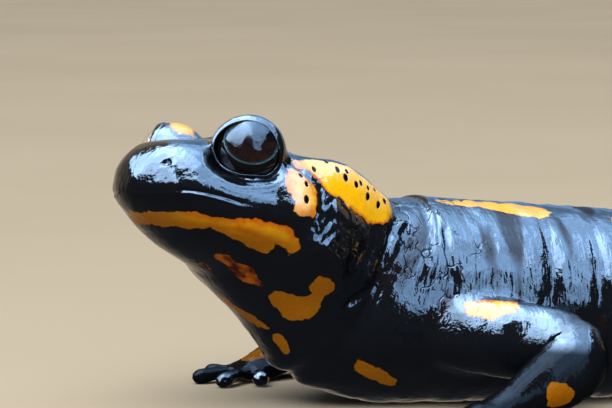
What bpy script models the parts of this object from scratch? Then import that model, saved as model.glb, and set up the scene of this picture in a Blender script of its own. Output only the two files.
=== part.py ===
"""Fire salamander, life size, resting on the floor with its head raised and turned.

The body is a loft: sections are set square to a bent spine, and each section is a
superellipse with a rise above the spine, a depth below it and a half width. Sizes
along the spine are given at named stations and run smoothly between them. Legs are
tubes bent at the elbow or knee, and feet are palms joined to tapering digits.

Sizes in this file are in millimetres and angles in degrees until a mesh is made.
The head points to -X, the animal's left side faces -Y and up is +Z.
"""
import math

import bmesh
import bpy
import numpy as np
from mathutils import Matrix, Vector

MM = 0.001
GAP = 0.3               # clear space between neighbouring pieces

LENGTH = 193.5          # snout to tail tip along the spine
SNOUT_ROUND = 2.1       # length over which the snout closes
TAIL_ROUND = 3.0        # length over which the tail tip closes
HEAD_ROLL = 6.0         # the left side of the head is carried a little higher
FLOOR_SINK = 0.22       # how far the round belly is flattened by the floor

# Each profile is (distance from the snout, value). Landmarks on the way: nostril 1.8,
# eye 7.5, corner of the mouth 11.1, widest cheeks 13.5, neck fold 22.5, shoulder 30,
# hip 90, vent 102.
YAW = ((0, 23), (14.5, 23), (21.5, 15), (31.5, 8), (59, -5), (91, -18), (104, -25),
       (129, -15), (159, 5), (193, 30))
AXIS_HEIGHT = ((0, 19.05), (1.4, 18.95), (3.1, 18.6), (4.8, 18.0), (7.5, 16.95),
               (10.5, 16.3), (13.5, 15.5), (16.5, 14.6), (19.5, 13.4), (23, 11.6),
               (26.5, 10.0), (30.5, 9.1), (36.5, 8.6))
HALF_WIDTH = ((0, 3.0), (1.4, 4.4), (3.1, 5.9), (4.8, 7.0), (7.5, 8.2), (10.5, 9.0),
              (13.5, 9.5), (16.5, 9.2), (19.5, 8.6), (23, 8.1), (26.5, 8.7),
              (30.5, 9.3), (49, 10.2), (64, 10.4), (79, 9.8), (91, 8.2), (99, 6.7),
              (105, 6.1), (114, 5.4), (129, 4.8), (149, 3.9), (169, 2.9), (184, 1.9),
              (193, 1.1))
TOP_RISE = ((0, 2.8), (1.4, 3.6), (3.1, 4.4), (4.8, 5.1), (7.5, 6.2), (10.5, 6.2),
            (13.5, 5.4), (16.5, 4.9), (19.5, 5.0), (21.5, 5.5), (23.5, 6.7),
            (26.5, 7.8), (30.5, 8.1), (37, 8.1), (49, 7.5), (79, 7.3), (91, 6.9),
            (99, 6.4), (114, 5.4), (129, 4.8), (149, 3.9), (169, 2.9), (184, 1.9),
            (193, 1.1))
BOTTOM_DEPTH = ((0, 1.2), (1.4, 1.9), (3.1, 2.6), (4.8, 3.3), (7.5, 4.2), (10.5, 5.6),
                (13.5, 7.2), (16.5, 8.9), (19.5, 10.2), (23, 10.8), (26.5, 10.1),
                (30.5, 9.3), (37, 8.8), (79, 8.5), (91, 7.7), (99, 6.8), (114, 5.5),
                (129, 4.8), (149, 3.9), (169, 2.9), (184, 1.9), (193, 1.1))
TOP_SHAPE = ((0, 2.3), (5, 2.6), (13, 2.7), (23, 2.3), (39, 2.1), (193, 2.0))
LOWER_SHAPE = ((0, 2.0), (9, 1.75), (19, 1.8), (35, 2.1), (193, 2.0))

MOUTH_CORNER = 11.1     # where the line of the mouth ends
MOUTH_DIP = 0.3         # the mouth is lower under the tip of the snout
JAW_SLOPE = 3.2         # steepness of the cut behind the lower jaw
LIP_HEIGHT = 0.55       # middle of the upper lip above the mouth
LIP_SWELL = 0.16
JAW_INSET = 0.3         # the lower jaw stands back under the upper lip

# A swelling is (distance from the snout, out from the middle, above the spine),
# its three half sizes and its height, and it is made on both sides.
PAROTOID = ((17.4, 6.6, 4.8), (6.0, 3.6, 3.4), 1.75)
CHEEK_GLAND = ((10.8, 8.9, 0.9), (2.0, 2.4, 2.9), 0.75)
JAW_MUSCLE = ((14.3, 8.6, -3.4), (4.6, 4.0, 4.0), 0.7)
VENT_SWELLING = ((101.5, 2.4, -6.0), (5.0, 3.4, 3.0), 0.5)

GROOVES = 11            # costal grooves, the folds between the ribs
GROOVE_FIRST = 38.6
GROOVE_PITCH = 4.6
GROOVE_HALF_WIDTH = 0.62
GROOVE_DEPTH = 0.5
THROAT_FOLD = (22.6, 0.8, 0.5)      # place, half width and depth of the gular fold

EYE_STATION = 7.5
EYE_OUT = 5.5
EYE_UP = 4.6
EYE_RADIUS = 2.6
EYE_GAP = 0.22
EYE_FORWARD = 32.0      # the eyes look a little forward and up
EYE_LIFT = 8.0
CORNEA_ANGLE = 40.0
CORNEA_RISE = 0.3
LID_RADIUS = 3.14
LID_OPENING = (2.72, 2.15)          # half length and half height of the opening
NOSTRIL_STATION = 1.7
NOSTRIL_OUT = 3.5
NOSTRIL_UP = 2.0
NOSTRIL_RADIUS = 0.42

# Pieces of the body between these places along the spine.
BODY_PIECES = (("neck", 22.2, 28.4), ("torso_front", 28.4, 59.0),
               ("torso_rear", 59.0, 98.0), ("tail_base", 98.0, 128.0),
               ("tail_middle", 128.0, 160.0), ("tail_tip", 160.0, LENGTH))
HEAD_COLUMNS = 44
TRUNK_COLUMNS = 30
TAIL_COLUMNS = 20

# Each leg: name, side, station, out and up of its root inside the body, then for the
# upper leg, the lower leg and the foot its length and heading. A heading is the turn
# from the tail's direction towards the outside and the lift above the floor.
FORE_RADII = (3.4, 3.2, 2.8, 2.6, 2.3, 1.75)
HIND_RADII = (3.9, 3.7, 3.0, 2.8, 2.5, 1.85)
LEGS = (
    ("foreleg_left", 1, (29.3, 6.4, -2.4), (14.0, 33, -6), (9.2, 164, -33), 152, 4),
    ("foreleg_right", -1, (30.0, 6.0, -2.2), (11.5, 92, -3), (9.4, 196, -25), 216, 4),
    ("hindleg_left", 1, (90.0, 4.6, -0.6), (14.0, 128, -5), (11.0, 62, -27), 104, 5),
    ("hindleg_right", -1, (90.0, 4.6, -0.6), (14.0, 52, -5), (11.0, 108, -27), 66, 5),
)
BEND_ROUND = 4.6        # length of each half of the rounded elbow or knee
ANKLE_HEIGHT = 1.9
PALM = (2.5, 2.1, 1.15)             # half length, half width and half height
DIGITS = {4: ((-54, 3.0), (-19, 4.5), (14, 4.7), (48, 3.2)),
          5: ((-64, 2.9), (-34, 4.3), (-4, 5.0), (24, 4.8), (54, 3.4))}
DIGIT_RADIUS = 0.78
DIGIT_HEIGHT = 0.66
GROUND_SIZE = 20.0      # the block that flattens the soles

SKIN_BLACK = (0.012, 0.013, 0.017)
EYE_BROWN = (0.016, 0.008, 0.006)


def profile(s, pairs):
    """Smooth curve through (place, value) pairs: cubic pieces with averaged slopes."""
    places, values = np.array(pairs, dtype=float).T
    slopes = np.gradient(values, places)
    s = np.clip(s, places[0], places[-1])
    i = np.clip(np.searchsorted(places, s, side="right") - 1, 0, len(places) - 2)
    span = places[i + 1] - places[i]
    u = (s - places[i]) / span
    start = (1 + 2 * u) * (1 - u) ** 2 * values[i] + u * (1 - u) ** 2 * span * slopes[i]
    end = u * u * (3 - 2 * u) * values[i + 1] - u * u * (1 - u) * span * slopes[i + 1]
    return start + end


def axis_height(s):
    """Height of the spine: the raised head, then the belly's depth above the floor."""
    resting = profile(s, BOTTOM_DEPTH) - FLOOR_SINK
    blend = np.clip((s - 32.0) / 6.0, 0, 1)
    return profile(s, AXIS_HEIGHT) * (1 - blend) + resting * blend


def spine_frame(s):
    """Place, forward, left and up directions of the spine at each distance s."""
    s = np.atleast_1d(np.asarray(s, dtype=float))
    step = 0.05
    marks = np.arange(-4.0, LENGTH + 4.0, step)
    heights = axis_height(np.maximum(marks, 0)) - 0.26 * np.minimum(marks, 0)
    fall = np.gradient(heights, step)
    pitch = np.arcsin(np.clip(-fall, -0.95, 0.95))
    yaw = np.radians(profile(marks, YAW))
    run_x = np.cumsum(np.cos(pitch) * np.cos(yaw)) * step
    run_y = np.cumsum(np.cos(pitch) * np.sin(yaw)) * step
    x, y, z, pitch, yaw = (np.interp(s, marks, row)
                           for row in (run_x, run_y, heights, pitch, yaw))
    forward = np.stack([-np.cos(pitch) * np.cos(yaw), -np.cos(pitch) * np.sin(yaw),
                        np.sin(pitch)], axis=-1)
    left = np.stack([np.sin(yaw), -np.cos(yaw), np.zeros_like(yaw)], axis=-1)
    up = np.cross(forward, left)
    roll = np.radians(HEAD_ROLL) * np.clip((30.0 - s) / 14.0, 0, 1)[:, None]
    left, up = (left * np.cos(roll) + up * np.sin(roll),
                up * np.cos(roll) - left * np.sin(roll))
    return np.stack([x, y, z], axis=-1), forward, left, up


def place(s, out, above):
    """World point at distance s, so far to the left and so far above the spine."""
    origin, _, left, up = spine_frame(s)
    return origin[0] + left[0] * out + up[0] * above


def swelling(s, y, z, centre, half_sizes, height):
    """Soft bump: height times (1 - r^2)^1.5, r the distance in half sizes."""
    r2 = (((s - centre[0]) / half_sizes[0]) ** 2
          + ((np.abs(y) - centre[1]) / half_sizes[1]) ** 2
          + ((z - centre[2]) / half_sizes[2]) ** 2)
    return height * np.clip(1 - r2, 0, 1) ** 1.5


def relief(s, y, z, top, bottom):
    """Swellings, lips and folds of the skin, as an outward offset."""
    offset = swelling(s, y, z, *PAROTOID) + swelling(s, y, z, *CHEEK_GLAND)
    offset += swelling(s, y, z, *JAW_MUSCLE) + swelling(s, y, z, *VENT_SWELLING)
    near_mouth = np.clip((MOUTH_CORNER + 1.0 - s) / 2.0, 0, 1)
    offset += near_mouth * LIP_SWELL * np.exp(-((z - LIP_HEIGHT) / 0.5) ** 2)
    offset -= near_mouth * JAW_INSET * np.clip(-z / 0.5, 0, 1)
    flank = np.clip((0.93 - z / top) / 0.25, 0, 1) * np.clip((z / bottom + 0.9) / 0.3, 0, 1)
    for k in range(GROOVES):
        centre = GROOVE_FIRST + k * GROOVE_PITCH
        offset -= GROOVE_DEPTH * flank * np.exp(-((s - centre) / GROOVE_HALF_WIDTH) ** 2)
    fold_place, fold_width, fold_depth = THROAT_FOLD
    low = np.clip((0.4 - z / top) / 0.6, 0, 1)
    offset -= fold_depth * low * np.exp(-((s - fold_place) / fold_width) ** 2)
    return offset


def body_points(s, angles, grow=0.0):
    """Points of the sections at distances s: rows of world points, one per angle.

    A section is y = w cos^(2/n), z = h sin^(2/n), with h the rise above the spine or
    the depth below it, moved outward by the relief and closed at snout and tail tip.
    """
    s = np.asarray(s, dtype=float)
    cosine, sine = np.cos(angles)[None, :], np.sin(angles)[None, :]
    width, top, bottom, top_shape, lower_shape = (
        profile(s, pairs)[:, None]
        for pairs in (HALF_WIDTH, TOP_RISE, BOTTOM_DEPTH, TOP_SHAPE, LOWER_SHAPE))
    power = 2.0 / np.where(sine >= 0, top_shape, lower_shape)
    y = width * np.sign(cosine) * np.abs(cosine) ** power
    z = np.where(sine >= 0, top, bottom) * np.sign(sine) * np.abs(sine) ** power
    normal = np.stack([y / width ** 2, z / np.where(sine >= 0, top, bottom) ** 2])
    normal /= np.linalg.norm(normal, axis=0)
    offset = relief(s[:, None], y, z, top, bottom)
    nose = np.clip(s / SNOUT_ROUND, 0, 1)[:, None]
    tail = np.clip((LENGTH - s) / TAIL_ROUND, 0, 1)[:, None]
    closing = np.sqrt(1 - (1 - nose) ** 2) * np.sqrt(1 - (1 - tail) ** 2)
    y = (y + normal[0] * offset) * closing + normal[0] * grow
    z = (z + normal[1] * offset) * closing + normal[1] * grow
    origin, _, left, up = spine_frame(s)
    points = origin[:, None] + left[:, None] * y[..., None] + up[:, None] * z[..., None]
    points[..., 2] = np.maximum(points[..., 2], -grow)
    return points


def even_angles(columns, crowd=0.0):
    """Angles round a section, closer together at the sides where crowd is above 0."""
    turn = np.linspace(0, 2 * np.pi, columns, endpoint=False)
    return turn - crowd * np.sin(2 * turn)


def add_material(obj, colour, roughness):
    """Give the object a material of its own."""
    material = bpy.data.materials.new(obj.name)
    material.use_nodes = True
    shader = material.node_tree.nodes["Principled BSDF"]
    shader.inputs["Base Color"].default_value = (*colour, 1.0)
    shader.inputs["Roughness"].default_value = roughness
    shader.inputs["Metallic"].default_value = 0.0
    obj.data.materials.append(material)


def add_object(name, mesh, collection):
    """New object from a mesh, shaded smooth."""
    mesh.shade_smooth()
    obj = bpy.data.objects.new(name, mesh)
    collection.objects.link(obj)
    return obj


def add_loft(name, rings, collection):
    """Closed solid from rings of points (in millimetres), capped at both ends."""
    rows, columns = rings.shape[:2]
    row = np.arange(rows - 1)[:, None] * columns
    here = np.arange(columns)[None, :]
    following = (here + 1) % columns
    quads = np.stack([row + here, row + following, row + columns + following,
                      row + columns + here], axis=-1).reshape(-1, 4)
    first_cap = list(range(columns - 1, -1, -1))
    last_cap = [(rows - 1) * columns + k for k in range(columns)]
    mesh = bpy.data.meshes.new(name)
    mesh.from_pydata((rings.reshape(-1, 3) * MM).tolist(), [],
                     quads.tolist() + [first_cap, last_cap])
    turn_outward(mesh)
    return add_object(name, mesh, collection)


def add_ball(name, centre, half_sizes, axes, collection, segments=22, rings=12):
    """Ellipsoid from a sphere: its local x, y and z lie along the given axes."""
    shape = bmesh.new()
    bmesh.ops.create_uvsphere(shape, u_segments=segments, v_segments=rings, radius=1.0)
    frame = Matrix([[axes[c][r] * half_sizes[c] * MM for c in range(3)] for r in range(3)])
    frame = frame.to_4x4()
    frame.translation = Vector(centre) * MM
    bmesh.ops.transform(shape, matrix=frame, verts=shape.verts)
    mesh = bpy.data.meshes.new(name)
    shape.to_mesh(mesh)
    shape.free()
    turn_outward(mesh)
    return add_object(name, mesh, collection)


def turn_outward(mesh):
    """Make all faces of a closed mesh point outward."""
    shape = bmesh.new()
    shape.from_mesh(mesh)
    bmesh.ops.recalc_face_normals(shape, faces=shape.faces)
    shape.to_mesh(mesh)
    shape.free()


def apply_boolean(obj, others, operation):
    """Join, cut or intersect with the other objects, which are then removed."""
    group = bpy.data.collections.new("operands")
    for other in others:
        for owner in list(other.users_collection):
            owner.objects.unlink(other)
        group.objects.link(other)
    modifier = obj.modifiers.new(operation, "BOOLEAN")
    modifier.operation = operation
    modifier.operand_type = "COLLECTION"
    modifier.collection = group
    modifier.solver = "EXACT"
    bpy.context.view_layer.update()
    evaluated = obj.evaluated_get(bpy.context.evaluated_depsgraph_get())
    mesh = bpy.data.meshes.new_from_object(evaluated)
    obj.modifiers.clear()
    obj.data = mesh
    for other in others:
        bpy.data.objects.remove(other)
    bpy.data.collections.remove(group)
    keep_largest(obj)


def keep_largest(obj):
    """Keep only the largest closed surface of the object."""
    shape = bmesh.new()
    shape.from_mesh(obj.data)
    bmesh.ops.remove_doubles(shape, verts=shape.verts, dist=0.002 * MM)
    bmesh.ops.triangulate(shape, faces=shape.faces)
    unseen = set(shape.faces)
    islands = []
    while unseen:
        island = {unseen.pop()}
        edge_of_island = list(island)
        while edge_of_island:
            face = edge_of_island.pop()
            for edge in face.edges:
                for other in edge.link_faces:
                    if other in unseen:
                        unseen.remove(other)
                        island.add(other)
                        edge_of_island.append(other)
        islands.append(island)
    largest = max(islands, key=len)
    scraps = [face for island in islands if island is not largest for face in island]
    bmesh.ops.delete(shape, geom=scraps, context="FACES")
    loose = [vertex for vertex in shape.verts if not vertex.link_faces]
    bmesh.ops.delete(shape, geom=loose, context="VERTS")
    shape.to_mesh(obj.data)
    shape.free()
    obj.data.shade_smooth()


def jaw_cutter(name, shift, collection):
    """Wedge below the mouth: its top follows the mouth, then falls behind the jaw."""
    s = np.array([-3.0, 0.0, 1.2, 2.4, 4.0, 6.5, 9.0, MOUTH_CORNER, 12.5, 15.3])
    moved = s - shift
    top = (-MOUTH_DIP * np.exp(-(np.maximum(moved, 0) / 2.6) ** 2)
           - JAW_SLOPE * np.maximum(moved - MOUTH_CORNER, 0) + shift)
    reach, floor_level = 14.0, -16.0
    corners = [(-reach, None), (reach, None), (reach, floor_level), (-reach, floor_level)]
    rings = np.array([[place(a, out, t if low is None else low) for out, low in corners]
                      for a, t in zip(s, top)])
    return add_loft(name, rings, collection)


def eye_frame(side):
    """Centre of the eye and its axes: along the lids, across them and outward."""
    centre = place(EYE_STATION, side * EYE_OUT, EYE_UP)
    _, forward, left, up = (row[0] for row in spine_frame(EYE_STATION))
    turn, lift = math.radians(EYE_FORWARD), math.radians(EYE_LIFT)
    outward = ((side * left * math.cos(turn) + forward * math.sin(turn)) * math.cos(lift)
               + up * math.sin(lift))
    along = np.cross(up, outward)
    along /= np.linalg.norm(along)
    return centre, (along, np.cross(outward, along), outward)


def add_head(parts, cutters):
    """Head with eye mounds, lids, nostrils and the lower jaw parted at the mouth."""
    tip = SNOUT_ROUND * (1 - np.cos(np.radians(np.array([12, 27, 42, 57, 72]))))
    s = np.concatenate([tip, np.linspace(2.1, 22.2 - GAP / 2, 26)])
    rings = body_points(s, even_angles(HEAD_COLUMNS, 0.24))
    head = add_loft("head", rings, parts)
    frames = [eye_frame(side) for side in (1, -1)]
    mounds = [add_ball("mound", centre, [LID_RADIUS] * 3, axes, cutters)
              for centre, axes in frames]
    apply_boolean(head, mounds, "UNION")
    for side, (centre, axes) in zip((1, -1), frames):
        socket = add_ball("socket", centre, [EYE_RADIUS + EYE_GAP] * 3, axes, cutters)
        lid_cut = (LID_OPENING[0], LID_OPENING[1], LID_RADIUS)
        opening = add_ball("opening", centre + axes[2] * LID_RADIUS, lid_cut, axes, cutters)
        apply_boolean(socket, [opening], "UNION")
        apply_boolean(head, [socket], "DIFFERENCE")
        nostril = place(NOSTRIL_STATION, side * NOSTRIL_OUT, NOSTRIL_UP)
        pit = add_ball("nostril", nostril, [NOSTRIL_RADIUS] * 3, axes, cutters, 10, 6)
        apply_boolean(head, [pit], "DIFFERENCE")
    jaw = add_object("lower_jaw", head.data.copy(), parts)
    apply_boolean(jaw, [jaw_cutter("jaw_space", -GAP / 2, cutters)], "INTERSECT")
    apply_boolean(head, [jaw_cutter("jaw_space", GAP / 2, cutters)], "DIFFERENCE")
    add_material(head, SKIN_BLACK, 0.25)
    add_material(jaw, SKIN_BLACK, 0.25)


def add_eyes(parts):
    """Eyeballs with a slightly raised cornea."""
    for name, side in (("eye_left", 1), ("eye_right", -1)):
        centre, axes = eye_frame(side)
        eye = add_ball(name, (0, 0, 0), [EYE_RADIUS] * 3, axes, parts, 20, 12)
        outward = Vector(axes[2])
        for vertex in eye.data.vertices:
            away = math.degrees(vertex.co.angle(outward))
            rise = CORNEA_RISE * max(0.0, 1 - (away / CORNEA_ANGLE) ** 2)
            vertex.co *= 1 + rise / EYE_RADIUS
        eye.data.transform(Matrix.Translation(Vector(centre) * MM))
        add_material(eye, EYE_BROWN, 0.04)


def body_stations(start, end):
    """Places of the rings of a body piece: closer at the costal grooves."""
    coarse = list(np.linspace(start, end, max(3, int((end - start) / 2.6) + 1)))
    for k in range(GROOVES):
        centre = GROOVE_FIRST + k * GROOVE_PITCH
        near = [centre + GROOVE_HALF_WIDTH * step for step in (-1.7, -0.8, 0, 0.8, 1.7)]
        if start + 1.5 < centre < end - 1.5:
            coarse = [s for s in coarse if abs(s - centre) > 1.6] + near
    return np.array(sorted(coarse))


def add_body(parts):
    """Neck, torso and tail, each a length of the same loft."""
    for name, start, end in BODY_PIECES:
        columns = TAIL_COLUMNS if name.startswith("tail") else TRUNK_COLUMNS
        s = body_stations(start + GAP / 2, end - GAP / 2)
        if name == "tail_tip":
            closing = LENGTH - TAIL_ROUND * (1 - np.cos(np.radians(np.array([60, 40, 16]))))
            s = np.concatenate([s[s < LENGTH - TAIL_ROUND], closing])
        piece = add_loft(name, body_points(s, even_angles(columns)), parts)
        add_material(piece, SKIN_BLACK, 0.25)


def heading(side, turn, lift):
    """Direction turned outward from the tail's direction and lifted off the floor."""
    turn, lift = math.radians(turn), math.radians(lift)
    return np.array([math.cos(turn) * math.cos(lift), -side * math.sin(turn) * math.cos(lift),
                     math.sin(lift)])


def tube_rings(path, radii, across, sides=12):
    """Rings square to a path that bends in one plane, whose normal is across."""
    tangent = np.gradient(path, axis=0)
    tangent /= np.linalg.norm(tangent, axis=1)[:, None]
    other = np.cross(tangent, across)
    turn = np.linspace(0, 2 * np.pi, sides, endpoint=False)[None, :, None]
    spokes = across[None, None] * np.cos(turn) + other[:, None] * np.sin(turn)
    return path[:, None] + spokes * np.asarray(radii)[:, None, None]


def line(start, end, count):
    """Evenly spaced points from start to end."""
    return start + (end - start) * np.linspace(0, 1, count)[:, None]


def unit(vector):
    """The vector at length 1."""
    return vector / np.linalg.norm(vector)


def add_leg(row, parts, cutters):
    """Upper leg, lower leg and foot, parted by flat cuts below the bend and at the ankle."""
    name, side, root, upper, lower, foot_turn, digit_count = row
    start = place(root[0], side * root[1], root[2])
    upper_way = heading(side, upper[1], upper[2])
    lower_way = heading(side, lower[1], lower[2])
    bend = start + upper_way * upper[0]
    ankle = bend + lower_way * lower[0]
    lower_way = unit(np.array([ankle[0], ankle[1], ANKLE_HEIGHT]) - bend)
    ankle = bend + lower_way * lower[0]
    radii = FORE_RADII if digit_count == 4 else HIND_RADII
    across = unit(np.cross(upper_way, lower_way))
    into, out = bend - upper_way * BEND_ROUND, bend + lower_way * BEND_ROUND
    t = np.linspace(0, 1, 7)[:, None]
    arc = (1 - t) ** 2 * into + 2 * t * (1 - t) * bend + t ** 2 * out
    path = np.concatenate([line(start, into, 4)[:-1], arc, line(out, out + lower_way * 0.8, 2)[1:]])
    reach = np.linspace(0, 1, len(path))
    width = np.interp(reach, [0, 0.35, 0.7, 1], radii[:4])
    upper_leg = add_loft(name + "_upper", tube_rings(path, width, across), parts)
    clear = body_points(np.linspace(root[0] - 12, root[0] + 22, 24),
                        even_angles(TRUNK_COLUMNS), GAP)
    apply_boolean(upper_leg, [add_loft("body_space", clear, cutters)], "DIFFERENCE")
    add_material(upper_leg, SKIN_BLACK, 0.25)

    knee_end = path[-1] + lower_way * GAP
    shin = line(knee_end, ankle, 6)
    width = np.interp(np.linspace(0, 1, 6), [0, 0.35, 1], [radii[3], radii[4], radii[5]])
    lower_leg = add_loft(name + "_lower", tube_rings(shin, width, across), parts)
    add_material(lower_leg, SKIN_BLACK, 0.25)
    add_foot(name, side, ankle + lower_way * GAP, lower_way, across, radii[5], foot_turn,
             digit_count, parts, cutters)


def add_foot(name, side, ankle, lower_way, across, radius, turn, digit_count, parts, cutters):
    """Palm joined to the ankle and the digits, flattened where it meets the floor."""
    ahead = heading(side, turn, 0)
    sideways = np.array([-ahead[1], ahead[0], 0.0])
    up = np.array([0.0, 0.0, 1.0])
    palm_centre = ankle + lower_way * 0.9 + ahead * 1.3
    palm_centre[2] = PALM[2] * 0.9
    foot = add_ball(name + "_foot", palm_centre, PALM, (ahead, sideways, up), parts, 14, 8)
    stub = line(ankle, ankle + lower_way * 1.9, 3)
    pieces = [add_loft("stub", tube_rings(stub, [radius, radius * 0.95, radius * 0.7], across),
                       cutters)]
    for spread, length in DIGITS[digit_count]:
        way = heading(side, turn + spread, 0)
        root = palm_centre + way * 0.6
        root[2] = DIGIT_HEIGHT + 0.25
        tip = palm_centre + way * (1.9 + length)
        tip[2] = DIGIT_HEIGHT - 0.1
        share = np.array([0, 0.35, 0.7, 0.9, 0.97, 1.0])[:, None]
        path = root + (tip - root) * share
        path[1:3, 2] += 0.15
        width = DIGIT_RADIUS * np.array([1.0, 0.9, 0.95, 0.88, 0.62, 0.2])
        pieces.append(add_loft("digit", tube_rings(path, width, up, 8), cutters))
    apply_boolean(foot, pieces, "UNION")
    apply_boolean(foot, [add_ground(palm_centre, cutters)], "DIFFERENCE")
    add_material(foot, SKIN_BLACK, 0.25)


def add_ground(centre, collection):
    """Box below a foot, whose top is the floor."""
    shape = bmesh.new()
    bmesh.ops.create_cube(shape, size=GROUND_SIZE * MM)
    middle = Vector((centre[0], centre[1], -GROUND_SIZE / 2)) * MM
    bmesh.ops.translate(shape, vec=middle, verts=shape.verts)
    mesh = bpy.data.meshes.new("ground")
    shape.to_mesh(mesh)
    shape.free()
    return add_object("ground", mesh, collection)


def centre_on_floor(parts):
    """Move everything so that the origin is under the middle of the bounding box."""
    corners = np.array([vertex.co[:] for obj in parts.objects for vertex in obj.data.vertices])
    low, high = corners.min(axis=0), corners.max(axis=0)
    shift = Vector((-(low[0] + high[0]) / 2, -(low[1] + high[1]) / 2, -low[2]))
    for obj in parts.objects:
        obj.data.transform(Matrix.Translation(shift))


def main():
    """Build the salamander."""
    for obj in list(bpy.data.objects):
        bpy.data.objects.remove(obj)
    parts = bpy.data.collections.new("fire_salamander")
    cutters = bpy.data.collections.new("cutters")
    for collection in (parts, cutters):
        bpy.context.scene.collection.children.link(collection)
    add_head(parts, cutters)
    add_eyes(parts)
    add_body(parts)
    for row in LEGS:
        add_leg(row, parts, cutters)
    centre_on_floor(parts)


main()
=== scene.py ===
"""Fire salamander, life size: skin, lids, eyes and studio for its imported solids.

The skin follows the sections of the solids on a finer grid and adds what they leave out:
lips, lids, folds, wrinkles and costal grooves. Shape functions work in millimetres, in the
solids' own frame: head to -X, the animal's left side to -Y, +Z up. Each distance s runs
along the spine from the tip of the snout, "out" is the distance to the animal's left and
"above" the height over the spine, both square to it.
"""

import math

import bpy
import numpy as np
from mathutils import Matrix, Vector


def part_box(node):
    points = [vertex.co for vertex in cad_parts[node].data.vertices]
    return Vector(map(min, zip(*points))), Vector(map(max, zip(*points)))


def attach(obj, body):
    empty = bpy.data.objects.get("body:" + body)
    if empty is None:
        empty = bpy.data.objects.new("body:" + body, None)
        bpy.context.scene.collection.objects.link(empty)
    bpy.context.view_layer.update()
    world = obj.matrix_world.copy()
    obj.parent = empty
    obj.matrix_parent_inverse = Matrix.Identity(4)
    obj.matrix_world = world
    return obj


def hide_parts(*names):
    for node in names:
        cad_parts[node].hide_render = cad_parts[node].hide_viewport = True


bl_info = {
    "name": "Fire salamander",
    "version": (1, 0, 0),
    "blender": (4, 5, 0),
    "location": "3D View > Sidebar > Salamander",
    "description": "Builds the skin, lids, eyes and studio of a life-size fire salamander",
    "category": "Object",
}

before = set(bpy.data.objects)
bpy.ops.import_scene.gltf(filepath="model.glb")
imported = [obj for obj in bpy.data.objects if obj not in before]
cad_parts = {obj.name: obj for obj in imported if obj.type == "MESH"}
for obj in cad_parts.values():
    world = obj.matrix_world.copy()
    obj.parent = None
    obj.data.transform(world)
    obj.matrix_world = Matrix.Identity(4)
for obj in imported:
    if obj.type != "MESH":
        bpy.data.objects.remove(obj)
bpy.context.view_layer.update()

MM = 0.001

# Sizes of the solids, in millimetres and degrees.
LENGTH = 193.5
STEEPEST = 0.95         # sine of the steepest that the spine may run
END_MARGIN = 0.05       # mm from either end where sections are still worked out
SNOUT_ROUND = 2.1
TAIL_ROUND = 3.0
HEAD_ROLL = 6.0
FLOOR_SINK = 0.22
# The head and neck are raised as far back as one distance, and a fade further on the belly
# lies on the floor. The head's roll fades out before another distance.
RAISED_END, RAISED_FADE = 32.0, 6.0
ROLL_END, ROLL_FADE = 30.0, 14.0
SNOUT_FALL = 0.26
SPINE_STEP = 0.05
SPINE_MARGIN = 4.0
PLACE_STEP = 0.5
YAW = ((0, 23), (14.5, 23), (21.5, 15), (31.5, 8), (59, -5), (91, -18), (104, -25),
       (129, -15), (159, 5), (193, 30))
AXIS_HEIGHT = ((0, 19.05), (1.4, 18.95), (3.1, 18.6), (4.8, 18.0), (7.5, 16.95),
               (10.5, 16.3), (13.5, 15.5), (16.5, 14.6), (19.5, 13.4), (23, 11.6),
               (26.5, 10.0), (30.5, 9.1), (36.5, 8.6))
HALF_WIDTH = ((0, 3.0), (1.4, 4.4), (3.1, 5.9), (4.8, 7.0), (7.5, 8.2), (10.5, 9.0),
              (13.5, 9.5), (16.5, 9.2), (19.5, 8.6), (23, 8.1), (26.5, 8.7),
              (30.5, 9.3), (49, 10.2), (64, 10.4), (79, 9.8), (91, 8.2), (99, 6.7),
              (105, 6.1), (114, 5.4), (129, 4.8), (149, 3.9), (169, 2.9), (184, 1.9),
              (193, 1.1))
TOP_RISE = ((0, 2.8), (1.4, 3.6), (3.1, 4.4), (4.8, 5.1), (7.5, 6.2), (10.5, 6.2),
            (13.5, 5.4), (16.5, 4.9), (19.5, 5.0), (21.5, 5.5), (23.5, 6.7),
            (26.5, 7.8), (30.5, 8.1), (37, 8.1), (49, 7.5), (79, 7.3), (91, 6.9),
            (99, 6.4), (114, 5.4), (129, 4.8), (149, 3.9), (169, 2.9), (184, 1.9),
            (193, 1.1))
BOTTOM_DEPTH = ((0, 1.2), (1.4, 1.9), (3.1, 2.6), (4.8, 3.3), (7.5, 4.2), (10.5, 5.6),
                (13.5, 7.2), (16.5, 8.9), (19.5, 10.2), (23, 10.8), (26.5, 10.1),
                (30.5, 9.3), (37, 8.8), (79, 8.5), (91, 7.7), (99, 6.8), (114, 5.5),
                (129, 4.8), (149, 3.9), (169, 2.9), (184, 1.9), (193, 1.1))
TOP_SHAPE = ((0, 2.3), (5, 2.6), (13, 2.7), (23, 2.3), (39, 2.1), (193, 2.0))
LOWER_SHAPE = ((0, 2.0), (9, 1.75), (19, 1.8), (35, 2.1), (193, 2.0))
NECK_PIECE = (22.2, 28.4)
PIECE_GAP = 0.3
NECK_RINGS, NECK_COLUMNS = 3, 30

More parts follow.
